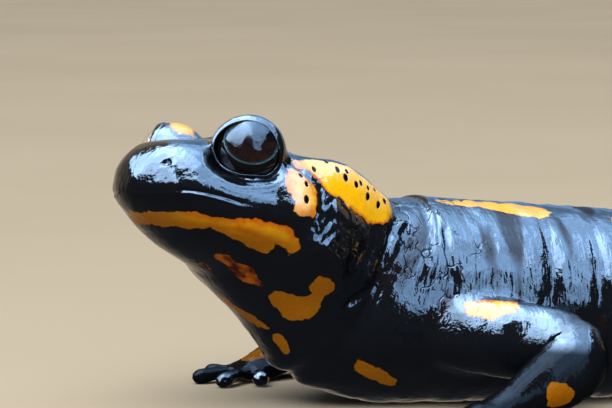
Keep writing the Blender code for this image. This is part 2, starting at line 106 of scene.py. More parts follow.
MOUTH_CORNER = 11.1
MOUTH_DIP = 0.3
PAROTOID = ((17.4, 6.6, 4.8), (6.0, 3.6, 3.4), 1.75)
CHEEK_GLAND = ((10.8, 8.9, 0.9), (2.0, 2.4, 2.9), 0.75)
JAW_MUSCLE = ((14.3, 8.6, -3.4), (4.6, 4.0, 4.0), 0.7)
VENT_SWELLING = ((101.5, 2.4, -6.0), (5.0, 3.4, 3.0), 0.5)
GROOVES = 11
GROOVE_FIRST = 38.6
GROOVE_PITCH = 4.6
GROOVE_HALF_WIDTH = 0.62
THROAT_FOLD = (22.6, 0.8, 0.5)
THROAT_FOLD_TOP, THROAT_FOLD_FADE = 0.4, 0.6     # shares of the rise above the spine
SHOULDER = ((26.5, 8.0, -3.6), (5.0, 5.0, 4.2), 0.6)

EYE_STATION = 7.5
EYE_OUT = 5.5
EYE_UP = 4.6
LIDS_FORWARD = 34.9
LIDS_LIFT = -10.1

# Radii of a leg at its root, upper leg, elbow or knee, lower leg and wrist. A leg's row is
# its name, side, root, (length, turn, lift) of upper and lower leg, the foot's turn and how
# many digits it has.
FORE_RADII = (3.4, 3.2, 2.8, 2.3, 1.75)
HIND_RADII = (3.9, 3.7, 3.0, 2.5, 1.85)
LEGS = (
    ("foreleg_left", 1, (29.3, 6.4, -2.4), (14.0, 33, -6), (9.2, 164, -33), 152, 4),
    ("foreleg_right", -1, (30.0, 6.0, -2.2), (11.5, 92, -3), (9.4, 196, -25), 216, 4),
    ("hindleg_left", 1, (90.0, 4.6, -0.6), (14.0, 128, -5), (11.0, 62, -27), 104, 5),
    ("hindleg_right", -1, (90.0, 4.6, -0.6), (14.0, 52, -5), (11.0, 108, -27), 66, 5),
)
BEND_ROUND = 4.6
BEND_SAVES = 0.25       # share of that by which the rounded bend comes sooner
BEND_STEPS = 24
UPPER_BULGE = 0.55      # where the upper leg is widest, as a share of its length
ANKLE_HEIGHT = 1.9
PALM = (2.5, 2.1, 1.15)
# What half width and half height have over a leg's radii, and their values at the palm.
LEG_ADDS = (((0.0, 0.0, 0.1, 0.25, 0.1), (PALM[1], PALM[1])),
            ((0.0, 0.0, 0.1, 0.15, -0.1), (PALM[2] + 0.1, PALM[2])))
DIGITS = {4: ((-54, 3.0), (-19, 4.5), (14, 4.7), (48, 3.2)),
          5: ((-64, 2.9), (-34, 4.3), (-4, 5.0), (24, 4.8), (54, 3.4))}
DIGIT_RADIUS = 0.78
DIGIT_HEIGHT = 0.66
DIGIT_START, DIGIT_REACH = 0.3, 1.9
DIGIT_ARCH, DIGIT_ARCH_LEAN, DIGIT_DROP = 0.28, 0.8, 0.12
DIGIT_FULL, DIGIT_TAPER, DIGIT_FLATNESS = 1.02, 0.2, 0.9
KNUCKLE_RISE, KNUCKLE_WAVES = 0.09, 15.0
DIGIT_MARKS, DIGIT_SPACING, DIGIT_ROUND = 30, 0.26, 0.75
# From the ankle the palm lies further down the leg and ahead; runs count from its end.
PALM_DROP, PALM_AHEAD, PALM_HEIGHT, PALM_ROUND = 0.9, 1.3, 0.9, 1.7
WRIST_BACK, WRIST_CORNER, WRIST_TWIST = 1.2, 1.0, (3.0, 1.5)
WRIST_RUN, PALM_RUN = 5.4, 2.4

# Lips: the upper one swells over the line of the mouth, the lower one stands back.
LIP_SWELL = 0.14
LIP_HEIGHT = 0.5
LIP_WIDTH = 0.5
JAW_INSET = 0.16
JAW_EDGE = (-0.04, 0.22)
LOWER_LIP_SWELL = 0.17
LOWER_LIP_DROP = 0.3
LOWER_LIP_WIDTH = 0.15
MOUTH_DEPTH = 0.2
MOUTH_HALF_WIDTH = 0.12
MOUTH_DIP_LENGTH = 2.6
MOUTH_FADE = (2.6, -1.0)

# The mound over each eye grows from a point under it. Sizes round the eye are pairs of
# degrees and value: 0 behind the eye, 90 above, 180 in front and 270 below it.
MOUND_LEAN = 40.0
MOUND_ROOT = 2.6
MOUND_FILLET = 0.7
MOUND_RISE = ((-90, 0.12), (-45, 0.14), (0, 0.22), (45, 0.33), (67, 0.27), (90, 0.22),
              (113, 0.27), (135, 0.36), (169, 0.45), (190, 0.4), (208, 0.27), (225, 0.15))
MOUND_FACING = 0.1      # cosine off the mound's axis up to which it is raised
MOUND_REACH = 9.0
SOCKET_DEPTH, SOCKET_FADE = 0.6, 0.15
# The skin under the lids: its level as a share of their thickness, and as shares of their
# width where it lies level and where it sinks into the socket.
LID_SEAT, LID_MIDDLE, LID_INSIDE = 0.4, 0.45, 0.3
LID_SPREAD = 0.9
LID_EDGE = ((-61, 41.6), (-37, 54), (-22, 57.5), (-10, 59.5), (0, 58.5), (17, 56), (36, 54.5),
            (49, 55.3), (66, 56.5), (88, 60), (105, 61.5), (129, 65.5), (147, 68.5), (165, 69.5),
            (183, 68), (196, 65), (211, 60), (224, 53), (238, 46), (267, 39.4))
LID_WIDTH = ((-90, 8), (-45, 8), (0, 14), (45, 24), (90, 26), (135, 22), (180, 12), (225, 8))
LID_THICKNESS = ((-90, 0.12), (-45, 0.14), (0, 0.24), (45, 0.33), (67, 0.33), (90, 0.31),
                 (113, 0.31), (147, 0.28), (169, 0.22), (190, 0.18), (225, 0.12))
LID_RIM = 0.11
LID_BASE = 0.06
LID_GAP = ((-90, 0.06), (-37, 0.06), (0, 0.08), (36, 0.1), (66, 0.12), (105, 0.12), (129, 0.15),
           (147, 0.22), (165, 0.33), (183, 0.36), (196, 0.26), (211, 0.13), (224, 0.07))
LID_TURNS, LID_ROUND = 220, 30
EYE_WRINKLE_DEPTH = 0.05
EYE_WRINKLE_PITCH = 0.42
EYE_WRINKLE_START, EYE_WRINKLE_END = (0.1, 0.5), (1.0, 2.6)
LOWER_LID = (-0.2, 0.5)     # how far below the eye the wrinkles begin, as a sine
TAIL_RING_PITCH = 3.4
TAIL_RING_DEPTH = 0.16
TAIL_RING_POWER, CREASE_POWER, SWELLING_POWER = 6, 4, 1.5
ROUND_MM = 6.0          # about how many mm a radian round the body is
GROOVE_WOBBLE, GROOVE_WOBBLE_SIZE = 0.5, (27.0, 3.0, 3.0)
# Sizes of noises in mm: a coarse one and, added with less weight, a fine one.
WRINKLE_SIZES, WRINKLE_LESS = ((1.15, 1.15 / 0.24, 1.15), (0.6, 2.0, 0.6)), 0.6
GRANULE_SIZES = (0.9, 0.45)
LEG_GRANULE_SIZES = (1.0, 0.5)
GRANULE_LESS = 0.5
GRANULES_AHEAD = 0.15   # share of the granules' height that the snout has
NOISE_TABLE, NOISE_PRIMES = 4096, (73856093, 19349663, 83492791)
HEAD_TO_NECK = (10.0, 26.0)
SNOUT_FADE, TAIL_FADE = 1.5, 4.0
CREASE_PITCH, CREASE_REACH, CREASE_NOISE, CREASE_SHARE = 1.05, 3.2, 1.6, 0.9
CREASE_SWAY, CREASE_RAGGED = 0.6, 0.5
# Grooves end near the back and the belly, at shares of the rise and the depth. Wrinkles
# and tail rings fade in and out between two distances, at the tip from the tail's end.
FLANK_TOP, FLANK_BOTTOM, FLANK_FADE = 0.97, 0.95, (0.3, 0.35)
TRUNK_START, TRUNK_END = (22.0, 27.0), (98.0, 106.0)
TAIL_START, TAIL_TIP = (100.0, 110.0), (2.0, 20.0)

# Folds, on both sides: half width, depth and a line of (distance, out, above).
FOLDS = (
    (0.2, 0.5, ((10.0, 7.5, 4.3), (11.3, 8.0, 3.8))),
    (0.14, 0.4, ((11.1, 8.2, 3.6), (11.7, 8.9, 2.7), (12.6, 9.3, 1.9), (12.8, 9.5, 1.0),
                 (12.6, 9.8, -0.6))),
    (0.5, 0.5, ((21.4, 5.4, 4.6), (21.2, 7.6, 3.0), (21.4, 8.2, 0.9), (22.0, 7.6, -1.8),
                (21.0, 7.4, -4.4))),
    (0.42, 0.25, ((27.9, 6.9, 5.5), (28.5, 8.7, 2.4), (29.4, 9.0, 0.4))),
    (0.36, 0.25, ((32.9, 6.4, 5.9), (33.2, 8.9, 2.5))),
)
# The nostril's place, radius and depth, and its rim's height as a share of that depth, and
# distance and width in its radii.
NOSTRIL = ((1.6, 4.05, 2.1), 0.3, 0.3)
NOSTRIL_RIM = (0.22, 1.45, 0.32)

# Yellow markings: chains of balls as (distance, out, above, radius) along the spine.
MARKINGS = (
    ((10.9, 7.6, 4.2, 0.3), (12.2, 7.7, 4.4, 0.8), (13.3, 8.0, 4.2, 1.4),
     (14.3, 8.4, 4.0, 1.75), (16.0, 8.5, 3.7, 2.0), (17.8, 8.3, 3.6, 1.95),
     (19.3, 7.9, 3.9, 1.5), (20.3, 7.3, 4.3, 1.0)),
    ((10.5, 8.6, 2.8, 0.9), (10.9, 9.3, 2.0, 1.2), (11.0, 9.7, 1.3, 1.25),
     (10.9, 9.9, 0.7, 0.95)),
    ((6.4, -5.2, -1.9, 0.5), (4.2, -4.0, -2.0, 0.6), (2.6, -1.6, -2.0, 0.9),
     (2.6, 0.8, -2.0, 1.0), (3.4, 2.6, -2.2, 1.0), (4.2, 4.0, -2.1, 0.85),
     (5.2, 5.3, -1.95, 0.72), (7.0, 6.9, -1.5, 0.58), (9.1, 7.7, -1.65, 0.85),
     (10.6, 8.1, -2.1, 1.0), (11.3, 8.2, -2.35, 0.85)),
    ((6.4, 5.9, -2.0, 0.4), (7.6, 6.4, -2.2, 0.6), (8.7, 6.7, -2.5, 0.75), (9.9, 7.0, -2.85, 0.75)),
    ((8.4, 3.3, -3.9, 0.6), (9.6, 3.2, -4.4, 0.9), (11.0, 3.4, -5.0, 0.95),
     (11.9, 3.8, -5.4, 0.5)),
    ((15.3, 7.6, -4.7, 1.0), (16.6, 7.6, -4.8, 0.95)),
    ((14.0, 4.3, -6.2, 1.1), (15.5, 4.9, -6.7, 1.55), (16.6, 5.8, -6.3, 1.2),
     (16.3, 7.0, -5.3, 0.8)),
    ((12.9, -2.0, -6.7, 0.6), (14.4, -0.4, -7.7, 0.7), (15.3, 0.9, -8.3, 0.5)),
    ((8.3, 0.4, -4.3, 0.35), (9.1, 0.0, -4.6, 0.3)),
    ((17.2, 1.9, -9.0, 0.5), (19.0, 2.3, -9.5, 0.5)),
    ((25.4, 5.6, -7.4, 0.7), (27.0, 5.3, -7.8, 0.6)),
    ((30.5, 10.8, -0.2, 0.95), (31.5, 11.2, -0.1, 1.1), (32.6, 11.6, 0.1, 1.1),
     (33.6, 11.9, 0.4, 0.95)),
    ((35.6, 18.5, -6.0, 0.95), (36.9, 18.4, -6.2, 1.0)),
    ((29.6, 2.1, 7.9, 0.6), (32.5, 2.3, 8.0, 0.95), (35.0, 2.5, 7.8, 1.3),
     (37.0, 2.9, 7.6, 1.75), (38.4, 3.2, 7.4, 1.75)),
    ((5.6, -3.6, 6.9, 1.0), (6.5, -4.2, 7.0, 1.4), (8.6, -5.2, 6.4, 1.8), (9.8, -6.0, 5.4, 1.4)),
    ((25.2, -16.2, -8.7, 1.0),),
    ((12.5, -7.8, 4.4, 1.2), (15.5, -8.4, 3.9, 2.0), (18.5, -8.1, 3.8, 1.9),
     (20.8, -6.9, 4.3, 1.0)),
    ((11.4, -9.4, 1.6, 1.1), (11.0, -9.6, 0.4, 0.8)),
    ((9.0, -7.8, -1.6, 0.6), (11.0, -8.2, -2.2, 0.7)),
)
# More markings of trunk and tail: (first and last distance, turn, half width), where the
# turn runs in degrees from 0 at the left side over 90 at the back to 180 at the right.
SPOTS = (
    (46.8, 54.5, 66, 1.6), (60.5, 65.5, 58, 2.0), (72.0, 82.5, 64, 1.7), (90.0, 95.0, 60, 1.8),
    (27.0, 34.5, 122, 1.5), (40.5, 50.5, 116, 1.8), (56.5, 62.0, 124, 2.0),
    (69.0, 76.0, 118, 1.8), (84.0, 91.0, 122, 1.7),
    (52.0, 53.5, 2, 1.5), (67.5, 69.0, -8, 1.2), (83.5, 85.0, 4, 1.3),
    (45.0, 46.0, 182, 1.4), (64.0, 66.5, 176, 1.3), (79.0, 80.0, 188, 1.5),
    (101.0, 109.5, 68, 1.4), (116.0, 121.0, 60, 1.2), (128.0, 137.0, 74, 1.0),
    (146.0, 150.0, 60, 0.9), (160.0, 168.0, 80, 0.8), (179.0, 184.0, 90, 0.6),
    (99.0, 103.0, 120, 1.3), (112.0, 117.5, 112, 1.3), (124.0, 128.0, 122, 1.0),
    (141.0, 147.0, 110, 0.9), (154.0, 157.0, 120, 0.8), (172.0, 175.0, 110, 0.6),
    (40.0, 41.0, 250, 1.3), (58.0, 59.0, 285, 1.5), (76.0, 77.5, 262, 1.4),
)
SPOT_SHAPE = (0.75, 1.0, 1.05, 0.7)
FAR, MARKING_FAR = 99.0, 9.0
# Mouths of the poison glands, and the nostril: (distance, out, above) and half width.
PORES = (((12.5, 7.9, 4.1), 0.14), ((13.6, 6.1, 5.5), 0.13), ((14.0, 7.3, 5.2), 0.14),
         ((14.8, 8.0, 4.7), 0.16), ((15.7, 7.9, 4.8), 0.12), ((15.5, 8.3, 4.2), 0.18),
         ((16.5, 8.3, 4.0), 0.15), ((17.0, 8.1, 4.4), 0.13), ((17.8, 8.0, 4.4), 0.12),
         ((18.6, 7.6, 4.7), 0.11), ((17.8, 8.3, 3.6), 0.17), ((19.1, 8.0, 3.6), 0.16),
         ((19.7, 7.5, 4.3), 0.13), ((10.8, 8.7, 3.1), 0.12), ((11.1, 9.3, 2.5), 0.13),
         ((11.0, 9.8, 1.2), 0.18), (NOSTRIL[0], 0.15))
PORE_SQUEEZE = (1.0, 0.6, 0.6)

FLESH = ("head", "lower_jaw", "neck", "torso_front", "torso_rear", "tail_base",
         "tail_middle", "tail_tip",
         *(f"{row[0]}_{part}" for row in LEGS for part in ("upper", "lower", "foot")))
AT_ONCE = 4000          # points that are compared with others at a time
SEAM_FULL, SEAM_REACH = 0.4, 1.6
SEAM_SHARE, SEAM_ROUNDS = 0.6, 30
LEG_SINK = 0.2          # how far a leg's tube may reach under the floor before the union
LID_RIDGE, LID_RIDGES = 0.012, 3
SIDES = (("left", 1), ("right", -1))
EYE_SIDES, EYE_RINGS, IRIS_RINGS = 96, 60, 46
EYE_HOLE = 0.01         # how far from the gaze the first ring lies
IRIS_HOLLOW = 0.3
IRIS_GAP, LIMBUS_WIDTH = 0.02, 0.05     # radians
IRIS_DEGREES = 30.0     # degrees off the gaze to one unit of the iris's patterns
CORNEA_BACK, CORNEA_INNER, CORNEA_HOLE = 0.01, 0.96, 0.02

# Studio: half the floor's side in mm, and soft lights as (name, metres from the head to the
# light, width in metres, watts).
FLOOR_HALF_SIZE = 9000.0
# Steps of the mirrored sky's edge: between two sideways parts of a direction it rises.
SKY_EDGE = {"left": ((-0.4, -0.76), -0.42), "middle": ((0.0, 0.19), -0.8),
            "right": ((0.36, 0.86), 0.97)}
SKY_NOISES = (("leaves", 5.0, 5.0), ("clouds", 3.4, 6.0))
SOFTBOXES = (("key", (-0.35, -0.6, 0.75), 0.7, 7.0), ("fill", (0.1, -0.8, 0.12), 0.7, 3.0))
DAYLIGHT_WIDTH = math.radians(70.0)
DAYLIGHT_TURN = (math.radians(25.0), math.radians(-15.0), 0.0)
PICTURE = (612, 408)
EYE_IN_PICTURE = (250.0, 153.0)

# The skin's grid: (distance where it starts, spacing of the rings, one column in so many).
GRID_ZONES = ((0.0, 0.16, 1), (2.4, 0.19, 1), (23.5, 0.30, 1), (30.0, 0.45, 2),
              (104.0, 0.75, 4))
TIP_START, TIP_END, TIP_RINGS, END_RINGS = 0.12, 0.8, 12, 9
COLUMNS = 256
ARC_MARKS = 400
MOUTH_CROWD = 0.45      # how much closer the columns lie at the line of the mouth
LIMB_SPACING = 0.34
LEAST_END = 0.02        # share of the full size that the last ring of a tube keeps
LIMB_SIDES = 44
DIGIT_SIDES = 16

# The skin's material reads measures: body places in mm, noises from 0 to 1 and distances.
# A noise's row gives its space, how many patterns to the mm, and its detail. The upright
# space is stretched over the flank, so that its patterns stand on end.
SKIN_NOISES = {
    "ragged": ("flesh", 1 / 1.9, 2.0), "frayed": ("flesh", 1 / 0.5, 2.0),
    "breaks": ("flesh", 0.45, 2.0), "cloud": ("flesh", 0.35, 4.0),
    "mottles": ("flesh", 0.9, 3.0), "specks": ("flesh", 1 / 0.3, 3.0),
    "pucker": ("flesh", 0.85, 1.0), "grain": ("flesh", 1 / 0.6, 3.0),
    "fine": ("flesh", 1 / 0.22, 2.0),
    "rolls": ("upright", 0.4, 1.0), "lines": ("upright", 1.5, 2.0),
}
EDGE_RAGGED = (("ragged", 1.5), ("frayed", 0.5))
FOLD_SQUEEZE = (1.0, 0.22, 0.22)
FOLD_LINES = 0.36
CRACK_SQUEEZE = (0.55, 0.36, 0.36)
CRACK_BENDS = 0.7
CRACK_WANDER = 1.3

# Zones of the skin: measure, the middle from which it counts both ways or None, where the
# share begins and ends, its values there, and whether the step between is soft or even.
SOFT, EVEN = "SMOOTHSTEP", "LINEAR"
WHOLE = (0.0, 1.0)
SKIN_ZONES = {
    "inside": ("edge", None, (-0.05, 0.06), WHOLE, SOFT),
    "top": ("above", None, (3.4, 5.2), WHOLE, SOFT),
    "thin": ("top", None, WHOLE, (1.0, 0.45), EVEN),
    "cheek": ("distance", None, (12.0, 11.4), (0.4, 1.0), EVEN),
    "pore": ("mouth", None, (1.55, 1.0), WHOLE, SOFT),
    "crack": ("cell", None, (0.06, 0.0), WHOLE, SOFT),
    "broken": ("breaks", None, (0.44, 0.6), (0.0, 0.8), EVEN),
    "shoulder": ("distance", 26.0, (8.0, 4.5), WHOLE, SOFT),
    "behind": ("distance", None, (19.0, 27.0), WHOLE, SOFT),
    "high": ("above", None, (-3.0, 1.0), WHOLE, SOFT),
    "hollow": ("rolls", None, (0.45, 0.36), WHOLE, SOFT),
    "foremost": ("distance", None, (70.0, 50.0), WHOLE, EVEN),
    "pale": ("cloud", None, (0.45, 0.75), (0.0, 0.5), EVEN),
    # The painted highlight that pales the markings high up is strongest over the big gland.
    "on_gland": ("distance", 15.5, (6.0, 4.0), (0.15, 0.65), EVEN),
    # The next two zones place a pinkish painted highlight on the upper part of the cheek's marking.
    "beside": ("distance", 10.6, (1.3, 0.3), (0.0, 0.6), EVEN),
    "raised": ("above", None, (-0.4, 0.6), WHOLE, EVEN),
    "front": ("distance", None, (4.2, 1.6), WHOLE, SOFT),
    "low": ("above", None, (0.0, -1.0), WHOLE, SOFT),
    "deep": ("above", None, (-3.2, -4.0), WHOLE, SOFT),
    "before": ("distance", None, (13.2, 12.4), WHOLE, SOFT),
    # Where the markings are darkened by painted shade on the underside.
    "under": ("above", None, (-0.6, -2.6), WHOLE, SOFT),
    "mottled": ("mottles", None, (0.42, 0.58), WHOLE, EVEN),
    "speckled": ("specks", None, (0.45, 0.7), (0.0, 0.22), EVEN),
    "neck": ("distance", 15.2, (4.0, 1.6), WHOLE, SOFT),
    "beneath": ("above", -0.6, (3.4, 1.2), WHOLE, SOFT),
    "outward": ("out", 0.0, (12.0, 14.0), WHOLE, SOFT),
    "lower": ("above", None, (-1.6, -2.8), WHOLE, SOFT),
}
# Shares made of others: the width of the markings' rims, cracks of the shoulder, upright
# folds and their hollows, tints of the markings (painted highlight high up and on the cheek,
# painted shade under the chin, the throat's tint), puckers under the big gland, lower legs.
SKIN_PRODUCTS = {
    "rim": ("cheek", "thin"), "crack": ("crack", "broken", "shoulder", "high"),
    "fold": ("fold", "behind", "high"), "hollow": ("hollow", "behind", "high", "foremost"),
    # Paler yellow high up is a painted highlight of the sky's sheen.
    "highlight_above": ("top", "on_gland"), "cheek_highlight": ("beside", "raised"), "chin_shade": ("front", "low"),
    # On the cheek a pinkish painted highlight, under the chin painted shade.
    "throat": ("deep", "before"), "pucker": ("pucker", "neck", "beneath"),
    "leg": ("outward", "lower"),
}
# Heights in mm of the film of water, and what the flesh under it adds to them.
FILM_RELIEF = (("grain", 0.06), ("fold", 0.3), ("pucker", 0.9), ("crack", -0.08),
               ("pore", -0.12), ("fine", 0.008))
FLESH_RELIEF = (("fine", 0.02),)
# Share of the film's gloss that is left in the dark mouths and cracks, the hollows and on
# the lower legs.
DRIER = (("wet", "dark", 0.25), ("dull", "hollow", 0.3), ("matt", "leg", 0.08))
IRIS_STREAKS = (7.0, 7.0, 1.6)
CORNEA_RIPPLES = 2200.0        # to the metre
CORNEA_RIPPLE_HEIGHT = 0.07
FILM_ROUGHNESS, EYEBALL_ROUGHNESS = 0.07, 0.04
FILM_IOR = 1.5                 # of the water on skin and eyeball
CORNEA_ROUGHNESS, CORNEA_IOR = 0.06, 1.42
PUPIL_EDGE = (1.2, 0.6)        # degrees outside and inside the pupil's edge
BOARD_CLOUDS = 9.0             # to the metre


def profile(s, pairs):
    """Smooth curve through (place, value) pairs: cubic pieces with averaged slopes."""
    places, values = np.array(pairs, dtype=float).T
    slopes = np.gradient(values, places)
    s = np.clip(s, places[0], places[-1])
    i = np.clip(np.searchsorted(places, s, side="right") - 1, 0, len(places) - 2)
    span = places[i + 1] - places[i]
    u = (s - places[i]) / span
    start = (1 + 2 * u) * (1 - u) ** 2 * values[i] + u * (1 - u) ** 2 * span * slopes[i]
    end = u * u * (3 - 2 * u) * values[i + 1] - u * u * (1 - u) * span * slopes[i + 1]
    return start + end


def smooth_step(x, low, high):
    """0 below low, 1 above high and 3u^2 - 2u^3 between."""
    u = np.clip((x - low) / (high - low), 0, 1)
    return u * u * (3 - 2 * u)


def smooth_max(a, b, width):
    """The larger of a and b, rounded where they are within width of each other."""
    near = np.clip(1 - np.abs(a - b) / width, 0, 1)
    return np.maximum(a, b) + near * near * width / 4


def lattice_noise(points, size, seed):
    """Smooth noise from -1 to 1: random values on a lattice of one size, or of one for each
    axis, blended by 3u^2 - 2u^3."""
    table = np.random.default_rng(seed).uniform(-1, 1, NOISE_TABLE)
    scaled = points / size
    cell = np.floor(scaled).astype(np.int64)
    u = scaled - cell
    u = u * u * (3 - 2 * u)
    total = np.zeros(points.shape[:-1])
    for corner in np.ndindex(2, 2, 2):
        keys = (cell + np.array(corner)) * np.array(NOISE_PRIMES)
        key = keys[..., 0] ^ keys[..., 1] ^ keys[..., 2]
        weight = np.prod(np.where(np.array(corner, dtype=bool), u, 1 - u), axis=-1)
        total += weight * table[key % NOISE_TABLE]
    return total


def axis_height(s):
    """Height of the spine: the raised head, then the belly's depth above the floor."""
    resting = profile(s, BOTTOM_DEPTH) - FLOOR_SINK
    blend = np.clip((s - RAISED_END) / RAISED_FADE, 0, 1)
    return profile(s, AXIS_HEIGHT) * (1 - blend) + resting * blend


def spine_frame(s):
    """Place, forward, left and up directions of the spine at each distance s."""
    s = np.atleast_1d(np.asarray(s, dtype=float))
    marks = np.arange(-SPINE_MARGIN, LENGTH + SPINE_MARGIN, SPINE_STEP)
    heights = axis_height(np.maximum(marks, 0)) - SNOUT_FALL * np.minimum(marks, 0)
    fall = np.gradient(heights, SPINE_STEP)
    pitch = np.arcsin(np.clip(-fall, -STEEPEST, STEEPEST))
    yaw = np.radians(profile(marks, YAW))
    run_x = np.cumsum(np.cos(pitch) * np.cos(yaw)) * SPINE_STEP
    run_y = np.cumsum(np.cos(pitch) * np.sin(yaw)) * SPINE_STEP
    x, y, z, pitch, yaw = (np.interp(s, marks, row)
                           for row in (run_x, run_y, heights, pitch, yaw))
    forward = np.stack([-np.cos(pitch) * np.cos(yaw), -np.cos(pitch) * np.sin(yaw),
                        np.sin(pitch)], axis=-1)
    left = np.stack([np.sin(yaw), -np.cos(yaw), np.zeros_like(yaw)], axis=-1)
    up = np.cross(forward, left)
    roll = np.radians(HEAD_ROLL) * np.clip((ROLL_END - s) / ROLL_FADE, 0, 1)[:, None]
    left, up = (left * np.cos(roll) + up * np.sin(roll),
                up * np.cos(roll) - left * np.sin(roll))
    return np.stack([x, y, z], axis=-1), forward, left, up


def place(s, out, above):
    """Point at distance s, so far to the left and so far above the spine."""
    origin, _, left, up = spine_frame(s)
    return origin[0] + left[0] * out + up[0] * above


def body_place(points):
    """Distance, out and above of each point, from the nearest of many marks on the spine."""
    marks = np.arange(-1.0, LENGTH + 1.0, PLACE_STEP)
    origin, _, _, _ = spine_frame(marks)
    found = np.empty((len(points), 3))
    for start in range(0, len(points), AT_ONCE):
        part = points[start:start + AT_ONCE]
        near = np.argmin(((part[:, None] - origin[None]) ** 2).sum(axis=-1), axis=1)
        s = marks[near]
        for _ in range(2):
            middle, ahead, side, over = spine_frame(s)
            away = part - middle
            s = s - (away * ahead).sum(axis=-1)
        found[start:start + AT_ONCE] = np.stack([
            s, (away * side).sum(axis=-1), (away * over).sum(axis=-1)], axis=-1)
    return found


def section_sizes(s):
    """Half width, rise, depth and the two exponents of the sections, as columns."""
    return [profile(s, pairs)[:, None]
            for pairs in (HALF_WIDTH, TOP_RISE, BOTTOM_DEPTH, TOP_SHAPE, LOWER_SHAPE)]


def section_points(s, angles):
    """Out and above on each section, and its outward direction there.

    A section is out = w cos^(2/n), above = h sin^(2/n), with h the rise above the spine
    or the depth below it.
    """
    width, top, bottom, top_shape, lower_shape = section_sizes(s)
    cosine, sine = np.cos(angles), np.sin(angles)
    power = 2.0 / np.where(sine >= 0, top_shape, lower_shape)
    out = width * np.sign(cosine) * np.abs(cosine) ** power
    above = np.where(sine >= 0, top, bottom) * np.sign(sine) * np.abs(sine) ** power
    normal = np.stack([out / width ** 2, above / np.where(sine >= 0, top, bottom) ** 2])
    return out, above, normal / np.linalg.norm(normal, axis=0)


def swelling(s, out, above, centre, half_sizes, height):
    """Soft bump on both sides: height times (1 - r^2)^1.5, r the distance in half sizes."""
    r2 = (((s - centre[0]) / half_sizes[0]) ** 2
          + ((np.abs(out) - centre[1]) / half_sizes[1]) ** 2
          + ((above - centre[2]) / half_sizes[2]) ** 2)
    return height * np.clip(1 - r2, 0, 1) ** SWELLING_POWER


def coarse_relief(s, out, above, top):
    """Glands and folds of the solids, without lips and grooves."""
    offset = swelling(s, out, above, *PAROTOID) + swelling(s, out, above, *CHEEK_GLAND)
    offset += swelling(s, out, above, *JAW_MUSCLE) + swelling(s, out, above, *VENT_SWELLING)
    fold_place, fold_width, fold_depth = THROAT_FOLD
    low = np.clip((THROAT_FOLD_TOP - above / top) / THROAT_FOLD_FADE, 0, 1)
    return offset - fold_depth * low * np.exp(-((s - fold_place) / fold_width) ** 2)


def lay_sections(s, out, above, normal, offset):
    """World points of the sections moved outward by the offset and closed at both ends."""
    nose = np.clip(s / SNOUT_ROUND, 0, 1)[:, None]
    tail = np.clip((LENGTH - s) / TAIL_ROUND, 0, 1)[:, None]
    closing = np.sqrt(1 - (1 - nose) ** 2) * np.sqrt(1 - (1 - tail) ** 2)
    out = (out + normal[0] * offset) * closing
    above = (above + normal[1] * offset) * closing
    origin, _, left, up = spine_frame(s)
    return origin[:, None] + left[:, None] * out[..., None] + up[:, None] * above[..., None]


def box_middle(node):
    """Middle of a solid's box, in metres."""
    low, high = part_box(node)
    return (Vector(low) + Vector(high)) / 2


def frame_shift():
    """Move from the shape functions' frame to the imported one, found on the neck's box."""
    start, end = NECK_PIECE
    s = np.linspace(start + PIECE_GAP / 2, end - PIECE_GAP / 2, NECK_RINGS)
    turn = np.linspace(0, 2 * np.pi, NECK_COLUMNS, endpoint=False)
    angles = np.repeat(turn[None], len(s), axis=0)
    out, above, normal = section_points(s, angles)
    offset = coarse_relief(s[:, None], out, above, section_sizes(s)[1])
    points = lay_sections(s, out, above, normal, offset).reshape(-1, 3)
    low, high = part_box("neck")
    middle = (np.array(low) + np.array(high)) / 2 / MM
    return middle - (points.min(axis=0) + points.max(axis=0)) / 2


def spread_columns(s):
    """Angles of all columns on each ring, evenly along the skin but closer at the mouth.

    On each quarter of a section the share of the arc's length is f - c sin(pi f) / pi,
    with f from 0 at the side to 1 at the middle of the back or belly.
    """
    quarter = COLUMNS // 4
    fine = np.linspace(0, np.pi / 2, ARC_MARKS)
    share = np.linspace(0, 1, quarter + 1)
    share = share - MOUTH_CROWD * np.sin(np.pi * share) / np.pi
    quarters = []
    for turn in (fine, -fine):
        out, above, _ = section_points(s, np.repeat(turn[None], len(s), axis=0))
        run = np.hypot(np.diff(out, axis=1), np.diff(above, axis=1)).cumsum(axis=1)
        run = np.concatenate([np.zeros((len(s), 1)), run / run[:, -1:]], axis=1)
        quarters.append(np.array([np.interp(share, row, fine) for row in run]))
    upper, lower = quarters
    return np.concatenate([upper[:, :-1], np.pi - upper[:, :0:-1], np.pi + lower[:, :-1],
                           2 * np.pi - lower[:, :0:-1]], axis=1)


def grid_stations():
    """Distances of the rings and, for each ring, how many columns it skips."""
    stations, steps = [0.0], [1]
    tip = SNOUT_ROUND * (1 - np.cos(np.linspace(TIP_START, 1.0, TIP_RINGS) * np.pi / 2))
    tip = tip[tip < TIP_END]
    stations += list(tip)
    steps += [1] * len(tip)
    for k, (start, spacing, step) in enumerate(GRID_ZONES):
        end = GRID_ZONES[k + 1][0] if k + 1 < len(GRID_ZONES) else LENGTH - TAIL_ROUND
        begin = max(start, stations[-1] + spacing)
        count = int(round((end - begin) / spacing))
        stations += list(np.linspace(begin, end, count, endpoint=False))
        steps += [step] * count
    closing = LENGTH - TAIL_ROUND * (1 - np.cos(np.linspace(1.0, 0.0, END_RINGS) * np.pi / 2))
    return np.array(stations + list(closing)), np.array(steps + [steps[-1]] * len(closing))


def eye_frame(side):
    """Centre of the eye and its axes: along the lids, across them and outward."""
    centre = place(EYE_STATION, side * EYE_OUT, EYE_UP)
    _, forward, left, up = (row[0] for row in spine_frame(EYE_STATION))
    turn, lift = math.radians(LIDS_FORWARD), math.radians(LIDS_LIFT)
    outward = ((side * left * math.cos(turn) + forward * math.sin(turn)) * math.cos(lift)
               + up * math.sin(lift))
    along = np.cross(up, outward)
    along /= np.linalg.norm(along)
    return centre, (along, np.cross(outward, along), outward)


